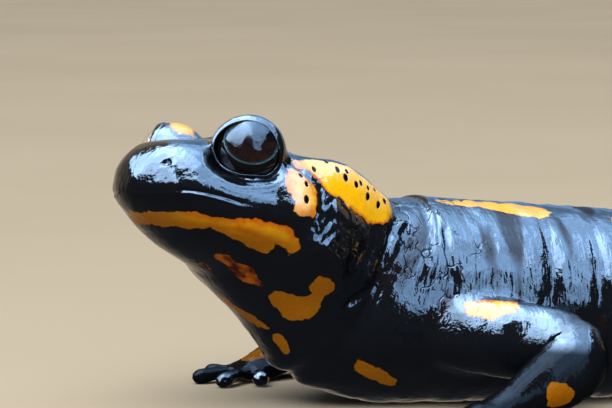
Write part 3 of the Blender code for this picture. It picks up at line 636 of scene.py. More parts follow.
def lid_profile(turn, pairs, side):
    """A size round the eye, from (degrees, value) pairs: 0 behind, 90 above, 180 in front."""
    degrees = np.degrees(turn)
    if side < 0:
        degrees = 180 - degrees
    degrees = (degrees + 90) % 360 - 90
    wrapped = ([(a - 360, v) for a, v in pairs[-2:]] + list(pairs)
               + [(a + 360, v) for a, v in pairs[:2]])
    return profile(degrees, wrapped)


def eye_polar(points, side):
    """Distance from the eye's centre, angle off its axis (degrees) and turn round it."""
    centre, (along, across, outward) = eye_frame(side)
    away = points - centre
    distance = np.linalg.norm(away, axis=-1)
    a, b, c = away @ along, away @ across, away @ outward
    return distance, np.degrees(np.arctan2(np.hypot(a, b), c)), np.arctan2(b, a)


def raise_mounds(points, radius):
    """Raise the skin over each eye and sink it inside the lids' opening.

    From a point under the eye each skin point moves along its ray to the smooth maximum
    of its own distance and that of a ball round the eye. Near the opening the skin is then
    moved straight back to the level of the lids, and inside it further, so that it passes
    behind the iris.
    """
    for side in (1, -1):
        centre, (_, _, outward) = eye_frame(side)
        _, _, left, up = (row[0] for row in spine_frame(EYE_STATION))
        lean = math.radians(MOUND_LEAN)
        normal = side * left * math.cos(lean) + up * math.sin(lean)
        root = centre - normal * MOUND_ROOT
        ray = points - root
        reach = np.linalg.norm(ray, axis=-1)
        ray = ray / np.maximum(reach, 1e-6)[..., None]
        facing = ray @ normal
        ball = np.full(reach.shape, radius)
        for _ in range(2):
            under = ball ** 2 - MOUND_ROOT ** 2 * (1 - facing ** 2)
            hit = MOUND_ROOT * facing + np.sqrt(np.maximum(under, 0))
            _, _, turn = eye_polar(root + ray * hit[..., None], side)
            ball = radius + lid_profile(turn, MOUND_RISE, side)
        close = (facing > MOUND_FACING) & (reach < MOUND_REACH)
        raised = np.where(close, smooth_max(reach, hit, MOUND_FILLET), reach)
        points = root + ray * raised[..., None]
        distance, off_axis, turn = eye_polar(points, side)
        edge, width, thin, gap = (lid_profile(turn, pairs, side)
                                  for pairs in (LID_EDGE, LID_WIDTH, LID_THICKNESS, LID_GAP))
        aside = distance * np.sin(np.radians(off_axis))
        ahead = (points - centre) @ outward
        ball = radius + gap + LID_SEAT * thin
        middle = np.radians(edge + LID_MIDDLE * width)
        level = np.sqrt(np.maximum(ball ** 2 - aside ** 2, (ball * np.cos(middle)) ** 2))
        sunk = 1 - smooth_step(aside, ball * np.sin(middle), ball * np.sin(middle) + LID_SPREAD)
        lowered = ahead - sunk * np.maximum(ahead - level, 0)
        rim = (radius + gap) * np.sin(np.radians(edge + LID_INSIDE * width))
        inside = 1 - smooth_step(aside, rim, rim + SOCKET_FADE)
        lowered = np.where(ahead > -SOCKET_DEPTH,
                           lowered - inside * (lowered + SOCKET_DEPTH), ahead)
        points = points + outward * (lowered - ahead)[..., None]
    return points


def grid_normals(points):
    """Outward unit normals of a grid of rings, from its differences along and around."""
    along = np.gradient(points, axis=0)
    around = np.roll(points, -1, axis=1) - np.roll(points, 1, axis=1)
    normal = np.cross(along, around)
    normal /= np.maximum(np.linalg.norm(normal, axis=-1), 1e-9)[..., None]
    outward = points - points.mean(axis=1, keepdims=True)
    return normal * np.sign(np.median((normal * outward).sum(axis=-1)))


def chain_distance(points, chain):
    """Distance to the nearest of the line pieces of a chain, less the radius there.

    Each point of the chain is a place and a radius, which runs evenly between points.
    """
    best = np.full(points.shape[:-1], FAR)
    chain = np.array(chain, dtype=float)
    if len(chain) == 1:
        return np.linalg.norm(points - chain[0, :3], axis=-1) - chain[0, 3]
    for start, end in zip(chain[:-1], chain[1:]):
        run = end[:3] - start[:3]
        share = np.clip((points - start[:3]) @ run / (run @ run), 0, 1)
        foot = start[:3] + share[..., None] * run
        radius = start[3] + share * (end[3] - start[3])
        best = np.minimum(best, np.linalg.norm(points - foot, axis=-1) - radius)
    return best


def head_relief(s, out, above):
    """Lips, nostrils and folds of the head as an outward offset."""
    near_mouth = smooth_step(s, MOUTH_CORNER + MOUTH_FADE[0], MOUTH_CORNER + MOUTH_FADE[1])
    high = above + MOUTH_DIP * np.exp(-(s / MOUTH_DIP_LENGTH) ** 2)
    lips = LIP_SWELL * np.exp(-((high - LIP_HEIGHT) / LIP_WIDTH) ** 2)
    lips -= JAW_INSET * smooth_step(-high, *JAW_EDGE)
    lips += LOWER_LIP_SWELL * np.exp(-((high + LOWER_LIP_DROP) / LOWER_LIP_WIDTH) ** 2)
    lips -= MOUTH_DEPTH * np.exp(-(high / MOUTH_HALF_WIDTH) ** 2)
    offset = near_mouth * lips
    here = np.stack([s, np.abs(out), above], axis=-1)
    for half_width, depth, line in FOLDS:
        away = chain_distance(here, [(*point, 0.0) for point in line])
        offset -= depth * np.exp(-(away / half_width) ** 2)
    at, radius, depth = NOSTRIL
    away = np.linalg.norm(here - np.array(at), axis=-1) / radius
    rise, ring, width = NOSTRIL_RIM
    rim = rise * depth * np.exp(-((away - ring) / width) ** 2)
    return offset - depth * np.exp(-away ** 4) + rim


def body_relief(s, out, above, angles, top, bottom, settings):
    """Costal grooves, wrinkles and granules of the trunk and tail as an outward offset."""
    flank = (smooth_step(FLANK_TOP - above / top, 0.0, FLANK_FADE[0])
             * smooth_step(above / bottom + FLANK_BOTTOM, 0.0, FLANK_FADE[1]))
    around = np.stack([s, angles * ROUND_MM, np.zeros_like(s)], axis=-1)
    wobble = lattice_noise(around, GROOVE_WOBBLE_SIZE, 5) * GROOVE_WOBBLE
    offset = swelling(s, out, above, *SHOULDER)
    groove = settings.groove_depth / MM
    for k in range(GROOVES):
        away = (s - GROOVE_FIRST - k * GROOVE_PITCH - wobble) / GROOVE_HALF_WIDTH
        offset -= groove * flank * np.exp(-away ** 2)
    trunk = smooth_step(s, *TRUNK_START) * (1 - smooth_step(s, *TRUNK_END))
    wrinkle = lattice_noise(around, WRINKLE_SIZES[0], 11)
    wrinkle += WRINKLE_LESS * lattice_noise(around, WRINKLE_SIZES[1], 12)
    offset -= trunk * settings.wrinkle_depth / MM * (1 - np.abs(wrinkle)) ** 3
    tail = smooth_step(s, *TAIL_START) * smooth_step(LENGTH - s, *TAIL_TIP)
    ring = np.cos(2 * np.pi * (s + wobble) / TAIL_RING_PITCH)
    offset -= tail * TAIL_RING_DEPTH * np.clip(ring, 0, 1) ** TAIL_RING_POWER
    granule = (lattice_noise(around, GRANULE_SIZES[0], 13)
               + GRANULE_LESS * lattice_noise(around, GRANULE_SIZES[1], 14))
    rough = GRANULES_AHEAD + (1 - GRANULES_AHEAD) * smooth_step(s, *HEAD_TO_NECK)
    return offset + settings.granule_height / MM * granule * rough


def body_grid(settings, eye_radius):
    """The whole fine grid of head, trunk and tail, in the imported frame."""
    stations, steps = grid_stations()
    angles = spread_columns(np.clip(stations, END_MARGIN, LENGTH - END_MARGIN))
    out, above, normal = section_points(stations, angles)
    _, top, bottom, _, _ = section_sizes(stations)
    s = np.repeat(stations[:, None], COLUMNS, axis=1)
    offset = coarse_relief(s, out, above, top) + head_relief(s, out, above)
    points = lay_sections(stations, out, above, normal, offset)
    points = raise_mounds(points, eye_radius)
    fine = body_relief(s, out, above, angles, top, bottom, settings)
    fine += eye_wrinkles(points, eye_radius)
    ends = (np.clip(stations / SNOUT_FADE, 0, 1)
            * np.clip((LENGTH - stations) / TAIL_FADE, 0, 1))
    points += grid_normals(points) * (fine * ends[:, None])[..., None]
    return points, steps


def eye_wrinkles(points, radius):
    """Folds that run round the lower lids: a cosine of the distance from the lid's edge."""
    offset = np.zeros(points.shape[:-1])
    for side in (1, -1):
        distance, off_axis, turn = eye_polar(points, side)
        flat = distance * np.sin(np.radians(off_axis))
        reach = radius + lid_profile(turn, LID_GAP, side)
        beyond = flat - reach * np.sin(np.radians(lid_profile(turn, LID_EDGE, side)))
        lower = smooth_step(-np.sin(turn), *LOWER_LID) * (off_axis < 90)
        fade = (smooth_step(beyond, *EYE_WRINKLE_START)
                * (1 - smooth_step(beyond, *EYE_WRINKLE_END)))
        offset -= EYE_WRINKLE_DEPTH * lower * fade * (
            0.5 + 0.5 * np.cos(2 * np.pi * beyond / EYE_WRINKLE_PITCH)) ** 2
    return offset


def grid_mesh(points, steps):
    """Vertices and faces of the body's grid, closed by a point at each end.

    A ring that skips more columns than the one before it is joined to it by three
    triangles for each of its own columns, and all others by quads.
    """
    rings = [points[r, ::steps[r]] for r in range(1, len(points) - 1)]
    sizes = np.array([len(ring) for ring in rings])
    starts = 1 + np.concatenate([[0], np.cumsum(sizes)[:-1]])
    vertices = np.concatenate([points[:1, 0], *rings, points[-1:, 0]])
    last = len(vertices) - 1
    faces = [[0, starts[0] + k, starts[0] + (k + 1) % sizes[0]] for k in range(sizes[0])]
    for r in range(len(rings) - 1):
        near, far, count = starts[r], starts[r + 1], sizes[r + 1]
        k = np.arange(count)
        following = (k + 1) % count
        if sizes[r] == count:
            quads = np.stack([near + k, far + k, far + following, near + following], axis=1)
            faces += quads.tolist()
            continue
        middle, after = 2 * k + 1, (2 * k + 2) % sizes[r]
        faces += np.stack([near + 2 * k, far + k, near + middle], axis=1).tolist()
        faces += np.stack([near + middle, far + k, far + following], axis=1).tolist()
        faces += np.stack([near + middle, far + following, near + after], axis=1).tolist()
    tail = starts[-1]
    count = sizes[-1]
    faces += [[last, tail + (k + 1) % count, tail + k] for k in range(count)]
    return vertices, faces


def heading(side, turn, lift):
    """Direction turned outward from the tail's direction and lifted off the floor."""
    turn, lift = math.radians(turn), math.radians(lift)
    return np.array([math.cos(turn) * math.cos(lift),
                     -side * math.sin(turn) * math.cos(lift), math.sin(lift)])


def unit(vector):
    """The vector, or each row of vectors, at length 1."""
    return vector / np.linalg.norm(vector, axis=-1, keepdims=True)


def bend_path(start, corner, end):
    """Quadratic curve from start to end that leaves and arrives towards the corner."""
    t = np.linspace(0, 1, BEND_STEPS)[:, None]
    return (1 - t) ** 2 * start + 2 * t * (1 - t) * corner + t ** 2 * end


def even_path(points, spacing):
    """The path through the points, resampled at an even spacing, and its run of distances."""
    run = np.concatenate([[0], np.linalg.norm(np.diff(points, axis=0), axis=1).cumsum()])
    marks = np.linspace(0, run[-1], int(run[-1] / spacing) + 1)
    return np.stack([np.interp(marks, run, column) for column in points.T], axis=1), marks


def tube_grid(path, reference, half_wide, half_high, sides):
    """Rings round a path: ellipses square to it, half_wide along the reference direction and
    half_high across that."""
    tangent = unit(np.gradient(path, axis=0))
    wide = unit(reference - (reference * tangent).sum(axis=1, keepdims=True) * tangent)
    high = np.cross(tangent, wide)
    turn = np.linspace(0, 2 * np.pi, sides, endpoint=False)[None, :, None]
    return (path[:, None] + wide[:, None] * np.cos(turn) * half_wide[:, None, None]
            + high[:, None] * np.sin(turn) * half_high[:, None, None])


def rounded_end(run, length):
    """Share of the full size along a run: a quarter circle over the length at its end."""
    left = np.clip((run[-1] - run) / length, 0, 1)
    return np.maximum(np.sqrt(1 - (1 - left) ** 2), LEAST_END)


def leg_path(start, upper, upper_way, lower, side, foot_turn):
    """Path of a leg through elbow and wrist to the end of the palm.

    The palm's middle and the direction across the bend come with it.
    """
    bend = start + upper_way * upper
    ankle = bend + heading(side, lower[1], lower[2]) * lower[0]
    lower_way = unit(np.array([ankle[0], ankle[1], ANKLE_HEIGHT]) - bend)
    ankle = bend + lower_way * lower[0]
    ahead = heading(side, foot_turn, 0)
    palm = ankle + lower_way * (PALM_DROP + PIECE_GAP) + ahead * PALM_AHEAD
    palm[2] = PALM[2] * PALM_HEIGHT
    elbow = bend_path(bend - upper_way * BEND_ROUND, bend, bend + lower_way * BEND_ROUND)
    wrist = bend_path(ankle - lower_way * WRIST_BACK, ankle + lower_way * WRIST_CORNER, palm)
    path = np.concatenate([[start], elbow, wrist, [palm + ahead * PALM[0]]])
    return path, palm, unit(np.cross(upper_way, lower_way))


def digit_grid(palm, way, length):
    """A digit from the palm along the floor: arched, with knuckles and a rounded tip."""
    root, tip = palm + way * DIGIT_START, palm + way * (DIGIT_REACH + length)
    share = np.linspace(0, 1, DIGIT_MARKS)
    line = root + (tip - root) * share[:, None]
    arch = DIGIT_ARCH * np.sin(np.pi * share ** DIGIT_ARCH_LEAN)
    line[:, 2] = DIGIT_HEIGHT + arch - DIGIT_DROP * share
    line, run = even_path(line, DIGIT_SPACING)
    along = run / run[-1]
    knuckles = KNUCKLE_RISE * np.cos(along * KNUCKLE_WAVES)
    size = DIGIT_RADIUS * (DIGIT_FULL - DIGIT_TAPER * along + knuckles)
    size = size * rounded_end(run, DIGIT_ROUND)
    up = np.repeat([[0.0, 0.0, 1.0]], len(line), axis=0)
    return tube_grid(line, up, size * DIGIT_FLATNESS, size, DIGIT_SIDES)


def limb_grids(row, settings):
    """Grids of one leg: upper and lower leg and palm in one tube, then each digit."""
    _, side, root, upper, lower, foot_turn, digit_count = row
    radii = FORE_RADII if digit_count == 4 else HIND_RADII
    start = place(root[0], side * root[1], root[2])
    upper_way = heading(side, upper[1], upper[2])
    path, palm, across = leg_path(start, upper[0], upper_way, lower, side, foot_turn)
    path, run = even_path(path, LIMB_SPACING)
    elbow_run = upper[0] - BEND_ROUND * BEND_SAVES
    wrist_run = run[-1] - WRIST_RUN
    keys = (0, elbow_run * UPPER_BULGE, elbow_run, (elbow_run + wrist_run) / 2, wrist_run,
            run[-1] - PALM_RUN, run[-1])
    wide, high = (profile(run, list(zip(keys, (*np.add(radii, more), *palm_sizes))))
                  for more, palm_sizes in LEG_ADDS)
    closing = rounded_end(run, PALM_ROUND)
    ahead = heading(side, foot_turn, 0)
    sideways = np.array([-ahead[1], ahead[0], 0.0])
    sign = 1.0 if across @ sideways >= 0 else -1.0
    share = smooth_step(run, wrist_run - WRIST_TWIST[0], wrist_run + WRIST_TWIST[1])[:, None]
    reference = unit(across * (1 - share) + sign * sideways * share)
    leg = tube_grid(path, reference, wide * closing, high * closing, LIMB_SIDES)
    leg += grid_normals(leg) * limb_relief(leg, run, elbow_run, settings)[..., None]
    return leg, [digit_grid(palm, heading(side, foot_turn + spread, 0), length)
                 for spread, length in DIGITS[digit_count]]


def limb_relief(grid, run, elbow_run, settings):
    """Creases across the elbow or knee and granules over the whole leg."""
    granule = (lattice_noise(grid, LEG_GRANULE_SIZES[0], 21)
               + GRANULE_LESS * lattice_noise(grid, LEG_GRANULE_SIZES[1], 22))
    wave = np.cos(2 * np.pi * run / CREASE_PITCH + CREASE_SWAY * np.sin(run))[:, None]
    wave = wave + CREASE_RAGGED * lattice_noise(grid, CREASE_NOISE, 23)
    crease = np.clip(wave, 0, 1) ** CREASE_POWER
    near = np.exp(-((run - elbow_run) / CREASE_REACH) ** 2)[:, None]
    return (settings.granule_height / MM * granule
            - settings.wrinkle_depth / MM * CREASE_SHARE * near * crease)


def grid_quads(rows, columns, closed):
    """Quads of a grid closed round each row and, if asked, from the last row to the first."""
    r, k = np.meshgrid(np.arange(rows if closed else rows - 1), np.arange(columns),
                       indexing="ij")
    after, following = (r + 1) % rows, (k + 1) % columns
    return np.stack([r * columns + k, r * columns + following, after * columns + following,
                     after * columns + k], axis=-1).reshape(-1, 4).tolist()


def tube_mesh(grid):
    """Vertices and faces of a tube whose two ends are closed by a middle point."""
    rings, sides = grid.shape[:2]
    first, last = rings * sides, rings * sides + 1
    end = (rings - 1) * sides
    caps = ([[first, (j + 1) % sides, j] for j in range(sides)]
            + [[last, end + j, end + (j + 1) % sides] for j in range(sides)])
    ends = np.stack([grid[0].mean(axis=0), grid[-1].mean(axis=0)])
    return (np.concatenate([grid.reshape(-1, 3), ends]),
            grid_quads(rings, sides, False) + caps)


def new_object(name, vertices, faces):
    """A smooth object from vertices in millimetres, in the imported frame, and faces."""
    mesh = bpy.data.meshes.new(name)
    mesh.from_pydata((vertices * MM).tolist(), [], faces)
    mesh.shade_smooth()
    obj = bpy.data.objects.new(name, mesh)
    bpy.context.scene.collection.objects.link(obj)
    return obj


def enclosed_volume(vertices, faces):
    """Signed volume of a closed mesh, above 0 where its faces point outward."""
    total = 0.0
    for corner_count in {len(face) for face in faces}:
        corners = vertices[np.array([face for face in faces if len(face) == corner_count])]
        for k in range(1, corner_count - 1):
            total += (corners[:, 0] * np.cross(corners[:, k], corners[:, k + 1])).sum() / 6
    return total


def outward_object(name, vertices, faces):
    """New object whose faces point outward."""
    if enclosed_volume(vertices, faces) < 0:
        faces = [face[::-1] for face in faces]
    return new_object(name, vertices, faces)


def unite(obj, others):
    """Join the other closed objects to obj and remove them."""
    group = bpy.data.collections.new("joined")
    for other in others:
        group.objects.link(other)
    joint = obj.modifiers.new("unite", "BOOLEAN")
    joint.operation = "UNION"
    joint.operand_type = "COLLECTION"
    joint.collection = group
    joint.solver = "MANIFOLD"
    bpy.context.view_layer.update()
    evaluated = obj.evaluated_get(bpy.context.evaluated_depsgraph_get())
    mesh = bpy.data.meshes.new_from_object(evaluated)
    mesh.materials.clear()
    obj.modifiers.clear()
    obj.data = mesh
    for other in others:
        bpy.data.objects.remove(other)
    bpy.data.collections.remove(group)


def read_points(mesh):
    """The mesh's vertices in millimetres."""
    flat = np.empty(len(mesh.vertices) * 3)
    mesh.vertices.foreach_get("co", flat)
    return flat.reshape(-1, 3) / MM


def smooth_seams(mesh, known):
    """The mesh's points with the creases rounded where tubes meet.

    Points near one that isn't known move to their neighbours' mean, round after round, by a
    share that falls to 0 at the seam's reach.
    """
    points = read_points(mesh)
    keys = {tuple(row) for row in np.round(known, 3).tolist()}
    new = np.array([tuple(row) not in keys for row in np.round(points, 3).tolist()])
    seam = points[new]
    away = np.full(len(points), FAR)
    low, high = seam.min(axis=0) - SEAM_REACH, seam.max(axis=0) + SEAM_REACH
    near = np.flatnonzero(((points > low) & (points < high)).all(axis=1))
    for start in range(0, len(near), AT_ONCE):
        part = near[start:start + AT_ONCE]
        squares = ((points[part, None] - seam[None]) ** 2).sum(axis=-1)
        away[part] = np.sqrt(squares.min(axis=1))
    weight = SEAM_SHARE * (1 - smooth_step(away, SEAM_FULL, SEAM_REACH))[:, None]
    edges = np.empty(len(mesh.edges) * 2, dtype=np.int32)
    mesh.edges.foreach_get("vertices", edges)
    ends = edges.reshape(-1, 2)
    both = np.concatenate([ends, ends[:, ::-1]])
    count = np.bincount(both[:, 0], minlength=len(points))[:, None]
    for _ in range(SEAM_ROUNDS):
        mean = np.stack([np.bincount(both[:, 0], weights=points[both[:, 1], axis],
                                     minlength=len(points)) for axis in range(3)], axis=1)
        points += weight * (mean / np.maximum(count, 1) - points)
    return points


def write_points(mesh, points):
    """Put the vertices, given in millimetres, into the mesh, none of them under the floor."""
    points[:, 2] = np.maximum(points[:, 2], 0.0)
    mesh.vertices.foreach_set("co", (points * MM).ravel())
    mesh.update()


def add_attribute(mesh, name, values):
    """Write a number or a vector for each vertex."""
    kind = "FLOAT" if values.ndim == 1 else "FLOAT_VECTOR"
    layer = mesh.attributes.new(name, kind, "POINT")
    field = "value" if values.ndim == 1 else "vector"
    layer.data.foreach_set(field, values.astype(np.float32).ravel())


def spot_chain(first, last, turn, radius):
    """The chain of balls of a spot that lies along the trunk or tail."""
    s = np.linspace(first, last, 4)
    cosine, sine = math.cos(math.radians(turn)), math.sin(math.radians(turn))
    height = profile(s, TOP_RISE if sine > 0 else BOTTOM_DEPTH)
    size = radius * np.array(SPOT_SHAPE)
    return np.stack([s, profile(s, HALF_WIDTH) * cosine, height * sine, size], axis=-1)


def marking_depth(places):
    """How deep each place lies inside the yellow markings, in millimetres, or below 0."""
    best = np.full(len(places), MARKING_FAR)
    for chain in (*MARKINGS, *(spot_chain(*row) for row in SPOTS)):
        best = np.minimum(best, chain_distance(places, chain))
    return -best


def dress_mesh(mesh, shift):
    """Write the attributes that the skin's material reads."""
    points = read_points(mesh)
    places = body_place(points - shift)
    add_attribute(mesh, "marking", marking_depth(places))
    places[:, 1] = np.abs(places[:, 1])
    add_attribute(mesh, "body_place", places)


def build_skin(settings, eye_radius):
    """One closed skin: the body's grid united with four legs and their digits."""
    shift = frame_shift()
    grid, steps = body_grid(settings, eye_radius)
    vertices, faces = grid_mesh(grid + shift, steps)
    vertices[:, 2] = np.maximum(vertices[:, 2], 0.0)
    skin = outward_object("skin", vertices, faces)
    limbs, known = [], [vertices]
    for row in LEGS:
        leg, digits = limb_grids(row, settings)
        for grid in (leg, *digits):
            vertices, faces = tube_mesh(grid + shift)
            vertices[:, 2] = np.maximum(vertices[:, 2], -LEG_SINK)
            limbs.append(outward_object("limb", vertices, faces))
            known.append(vertices)
    unite(skin, limbs)
    write_points(skin.data, smooth_seams(skin.data, np.concatenate(known)))
    skin.data.shade_smooth()
    dress_mesh(skin.data, shift)
    return skin


def lid_grid(side, radius):
    """Both lids of an eye as one band round it.

    Round the eye runs the edge of the opening; across the band the angle off the eye's
    axis grows from that edge by half a cosine, and the distance from the eye's centre
    goes up over the lid and back under it by the square root of a sine. The lid is thin at
    its rim and thickest half way across.
    """
    turn = np.linspace(0, 2 * np.pi, LID_TURNS, endpoint=False)[:, None]
    around = np.linspace(0, 2 * np.pi, LID_ROUND, endpoint=False)[None]
    edge, width, thin, gap = (lid_profile(turn, pairs, side)
                              for pairs in (LID_EDGE, LID_WIDTH, LID_THICKNESS, LID_GAP))
    share = (1 - np.cos(around)) / 2
    over = np.sign(np.sin(around)) * np.abs(np.sin(around)) ** 0.5
    thickness = (LID_RIM + (thin - LID_RIM) * np.sin(np.pi * share)
                 + (LID_BASE - LID_RIM) * share ** 2)
    distance = radius + gap + thickness * (1 + over) / 2
    ridge = np.clip(over, 0, 1) * np.cos(share * LID_RIDGES * 2 * np.pi)
    distance = distance + LID_RIDGE * ridge
    off_axis = np.radians(edge + width * share)
    centre, (along, across, outward) = eye_frame(side)
    flat = np.cos(turn)[..., None] * along + np.sin(turn)[..., None] * across
    way = np.cos(off_axis)[..., None] * outward + np.sin(off_axis)[..., None] * flat
    return centre + distance[..., None] * way


def gaze_axes(side, lift):
    """The eye's own axes: its gaze, raised by lift degrees from the lids' axis."""
    centre, (along, across, outward) = eye_frame(side)
    tilt = math.radians(lift)
    gaze = outward * math.cos(tilt) + across * math.sin(tilt)
    return centre, (along, np.cross(gaze, along), gaze)


def turned_grid(side, lift, ahead, aside):
    """Surface turned round the gaze, from distances ahead of the centre and aside of it."""
    centre, (along, across, gaze) = gaze_axes(side, lift)
    turn = np.linspace(0, 2 * np.pi, EYE_SIDES, endpoint=False)
    flat = np.cos(turn)[:, None] * along + np.sin(turn)[:, None] * across
    return centre + ahead[:, None, None] * gaze + aside[:, None, None] * flat, turn


def eyeball_profile(settings):
    """Distances ahead and aside: a ball whose front is cut off at the iris.

    The iris is a shallow bowl, with the fourth power of the distance from its middle, that
    meets the ball at the edge of the cornea in a narrow groove.
    """
    radius, limbus = settings.radius / MM, math.radians(settings.limbus_angle)
    share = np.linspace(EYE_HOLE, 1.0, IRIS_RINGS)
    flat_ahead = radius * math.cos(limbus) - IRIS_HOLLOW * (1 - share ** 4)
    off = np.linspace(limbus + IRIS_GAP, np.pi - EYE_HOLE, EYE_RINGS)
    groove = np.exp(-((off - limbus) / LIMBUS_WIDTH) ** 2)
    size = radius - settings.limbus_depth / MM * groove
    return (np.concatenate([flat_ahead, size * np.cos(off)]),
            np.concatenate([share * radius * math.sin(limbus), size * np.sin(off)]))


def cornea_profile(settings):
    """Distances ahead and aside of the clear dome over the iris.

    Its front is part of a smaller ball moved forward so that it meets the eyeball at the
    edge of the cornea, and its back is flat.
    """
    radius, bulge = settings.radius / MM, settings.cornea_radius / MM
    limbus = math.radians(settings.limbus_angle)
    ahead, aside = radius * math.cos(limbus), radius * math.sin(limbus)
    moved = ahead - math.sqrt(bulge ** 2 - aside ** 2)
    turn = np.linspace(EYE_HOLE, math.asin(aside / bulge), EYE_RINGS)
    back = ahead + CORNEA_BACK
    return (np.concatenate([moved + bulge * np.cos(turn), [back, back]]),
            np.concatenate([bulge * np.sin(turn), [aside * CORNEA_INNER, CORNEA_HOLE]]))


def build_lids(name, side, radius):
    """Both lids of one eye, drawn out of the skin round it."""
    shift = frame_shift()
    grid = lid_grid(side, radius) + shift
    lids = outward_object(f"lids_{name}", grid.reshape(-1, 3),
                          grid_quads(*grid.shape[:2], True))
    dress_mesh(lids.data, shift)
    return lids


def build_eye(name, side, settings):
    """Eyeball with the angle off its gaze and the place on the iris as attributes."""
    ahead, aside = eyeball_profile(settings)
    grid, turn = turned_grid(side, settings.lift, ahead, aside)
    eye = outward_object(f"eyeball_{name}", *tube_mesh(grid + frame_shift()))
    degrees = np.degrees(np.repeat(np.arctan2(aside, ahead)[:, None], EYE_SIDES, axis=1))
    around = np.broadcast_to(turn, degrees.shape)
    iris = np.stack([np.cos(around), np.sin(around), degrees / IRIS_DEGREES],
                    axis=-1).reshape(-1, 3)
    add_attribute(eye.data, "gaze", np.concatenate([degrees.ravel(), [0.0, 180.0]]))
    add_attribute(eye.data, "iris_place", np.concatenate([iris, iris[[0, -1]]]))
    return eye


def build_cornea(name, side, settings):
    """Clear dome over the iris."""
    grid, _ = turned_grid(side, settings.lift, *cornea_profile(settings))
    return outward_object(f"cornea_{name}", *tube_mesh(grid + frame_shift()))


def linear_colour(text):
    """A colour written as sRGB hex, as linear red, green, blue and 1."""
    values = np.array([int(text[k:k + 2], 16) for k in (1, 3, 5)]) / 255
    linear = np.where(values <= 0.04045, values / 12.92, ((values + 0.055) / 1.055) ** 2.4)
    return (*linear.tolist(), 1.0)


def add_node(tree, kind, inputs=None, **settings):
    """Add a node with its settings and links, and return its outputs.

    Each input gets a value or the output of another node.
    """
    node = tree.nodes.new("ShaderNode" + kind)
    for name, value in settings.items():
        setattr(node, name, value)
    for key, value in (inputs or {}).items():
        if isinstance(value, bpy.types.NodeSocket):
            tree.links.new(value, node.inputs[key])
        else:
            node.inputs[key].default_value = value
    return node.outputs


def new_material(name):
    """An empty node material and its tree."""
    material = bpy.data.materials.new(name)
    material.use_nodes = True
    material.node_tree.nodes.clear()
    return material, material.node_tree


def add_shares(tree, measures, zones, products):
    """The measures by name, with the share of each zone and each product of shares.

    A zone's row gives its measure, the middle from which that counts both ways or None, the
    places where the share begins and ends, its values there and the form of the step. A
    product's row names its factors.
    """
    shares = dict(measures)
    for name, (measure, middle, places, values, form) in zones.items():
        value = shares[measure]
        if middle is not None:
            value = add_node(tree, "Math", {0: value, 1: middle}, operation="SUBTRACT")[0]
            value = add_node(tree, "Math", {0: value}, operation="ABSOLUTE")[0]
        shares[name] = add_node(tree, "MapRange", {
            "Value": value, "From Min": places[0], "From Max": places[1],
            "To Min": values[0], "To Max": values[1]}, interpolation_type=form)[0]
    for name, (first, *others) in products.items():
        share = shares[first]
        for other in others:
            share = add_node(tree, "Math", {0: share, 1: shares[other]},
                             operation="MULTIPLY")[0]
        shares[name] = share
    return shares


def lay_tints(tree, colour, layers):
    """The colour under layers of tints, each laid over the ones before it by its share."""
    for share, tint in layers:
        colour = add_node(tree, "Mix", {0: share, 6: colour, 7: tint}, data_type="RGBA")[2]
    return colour


def gland_mouths(tree, on_body):
    """Distance to the nearest gland's mouth, in half widths of that mouth."""
    squeezed = add_node(tree, "VectorMath", {0: on_body, 1: PORE_SQUEEZE},
                        operation="MULTIPLY")[0]
    nearest = None
    for at, half_width in PORES:
        target = tuple(a * b for a, b in zip(at, PORE_SQUEEZE))
        away = add_node(tree, "VectorMath", {0: squeezed, 1: target},
                        operation="DISTANCE")["Value"]
        away = add_node(tree, "Math", {0: away, 1: 1 / half_width}, operation="MULTIPLY")[0]
        if nearest is not None:
            away = add_node(tree, "Math", {0: away, 1: nearest}, operation="MINIMUM")[0]
        nearest = away
    return nearest


def skin_measures(tree):
    """What the skin's zones read: body places, noises, cracks, markings and gland mouths."""
    flesh = add_node(tree, "VectorMath", {0: add_node(tree, "TexCoord")["Object"],
                                          "Scale": 1 / MM}, operation="SCALE")[0]
    on_body = add_node(tree, "Attribute", attribute_name="body_place")["Vector"]
    upright = add_node(tree, "VectorMath", {0: on_body, 1: FOLD_SQUEEZE},
                       operation="MULTIPLY")[0]
    spaces = {"flesh": flesh, "upright": upright}
    measures = dict(zip(("distance", "out", "above"),
                        add_node(tree, "SeparateXYZ", {0: on_body})))
    for name, (space, scale, detail) in SKIN_NOISES.items():
        measures[name] = add_node(tree, "TexNoise", {
            "Vector": spaces[space], "Scale": scale, "Detail": detail})["Fac"]

    edge = add_node(tree, "Attribute", attribute_name="marking")["Fac"]
    for name, height in EDGE_RAGGED:
        centred = add_node(tree, "Math", {0: measures[name], 1: -0.5}, operation="ADD")[0]
        edge = add_node(tree, "Math", {0: centred, 1: height, 2: edge},
                        operation="MULTIPLY_ADD")[0]
    wander = add_node(tree, "TexNoise", {
        "Vector": flesh, "Scale": CRACK_BENDS, "Detail": 1.5})["Color"]
    cells = add_node(tree, "VectorMath", {0: on_body, 1: CRACK_SQUEEZE},
                     operation="MULTIPLY")[0]
    cells = add_node(tree, "VectorMath", {0: wander, 1: [CRACK_WANDER] * 3, 2: cells},
                     operation="MULTIPLY_ADD")[0]
    measures["edge"] = edge
    measures["mouth"] = gland_mouths(tree, on_body)
    measures["cell"] = add_node(tree, "TexVoronoi", {"Vector": cells, "Scale": 1.0},
                                feature="DISTANCE_TO_EDGE")["Distance"]
    measures["fold"] = add_node(tree, "Math", {
        0: measures["lines"], 1: FOLD_LINES, 2: measures["rolls"]},
        operation="MULTIPLY_ADD")[0]
    return measures


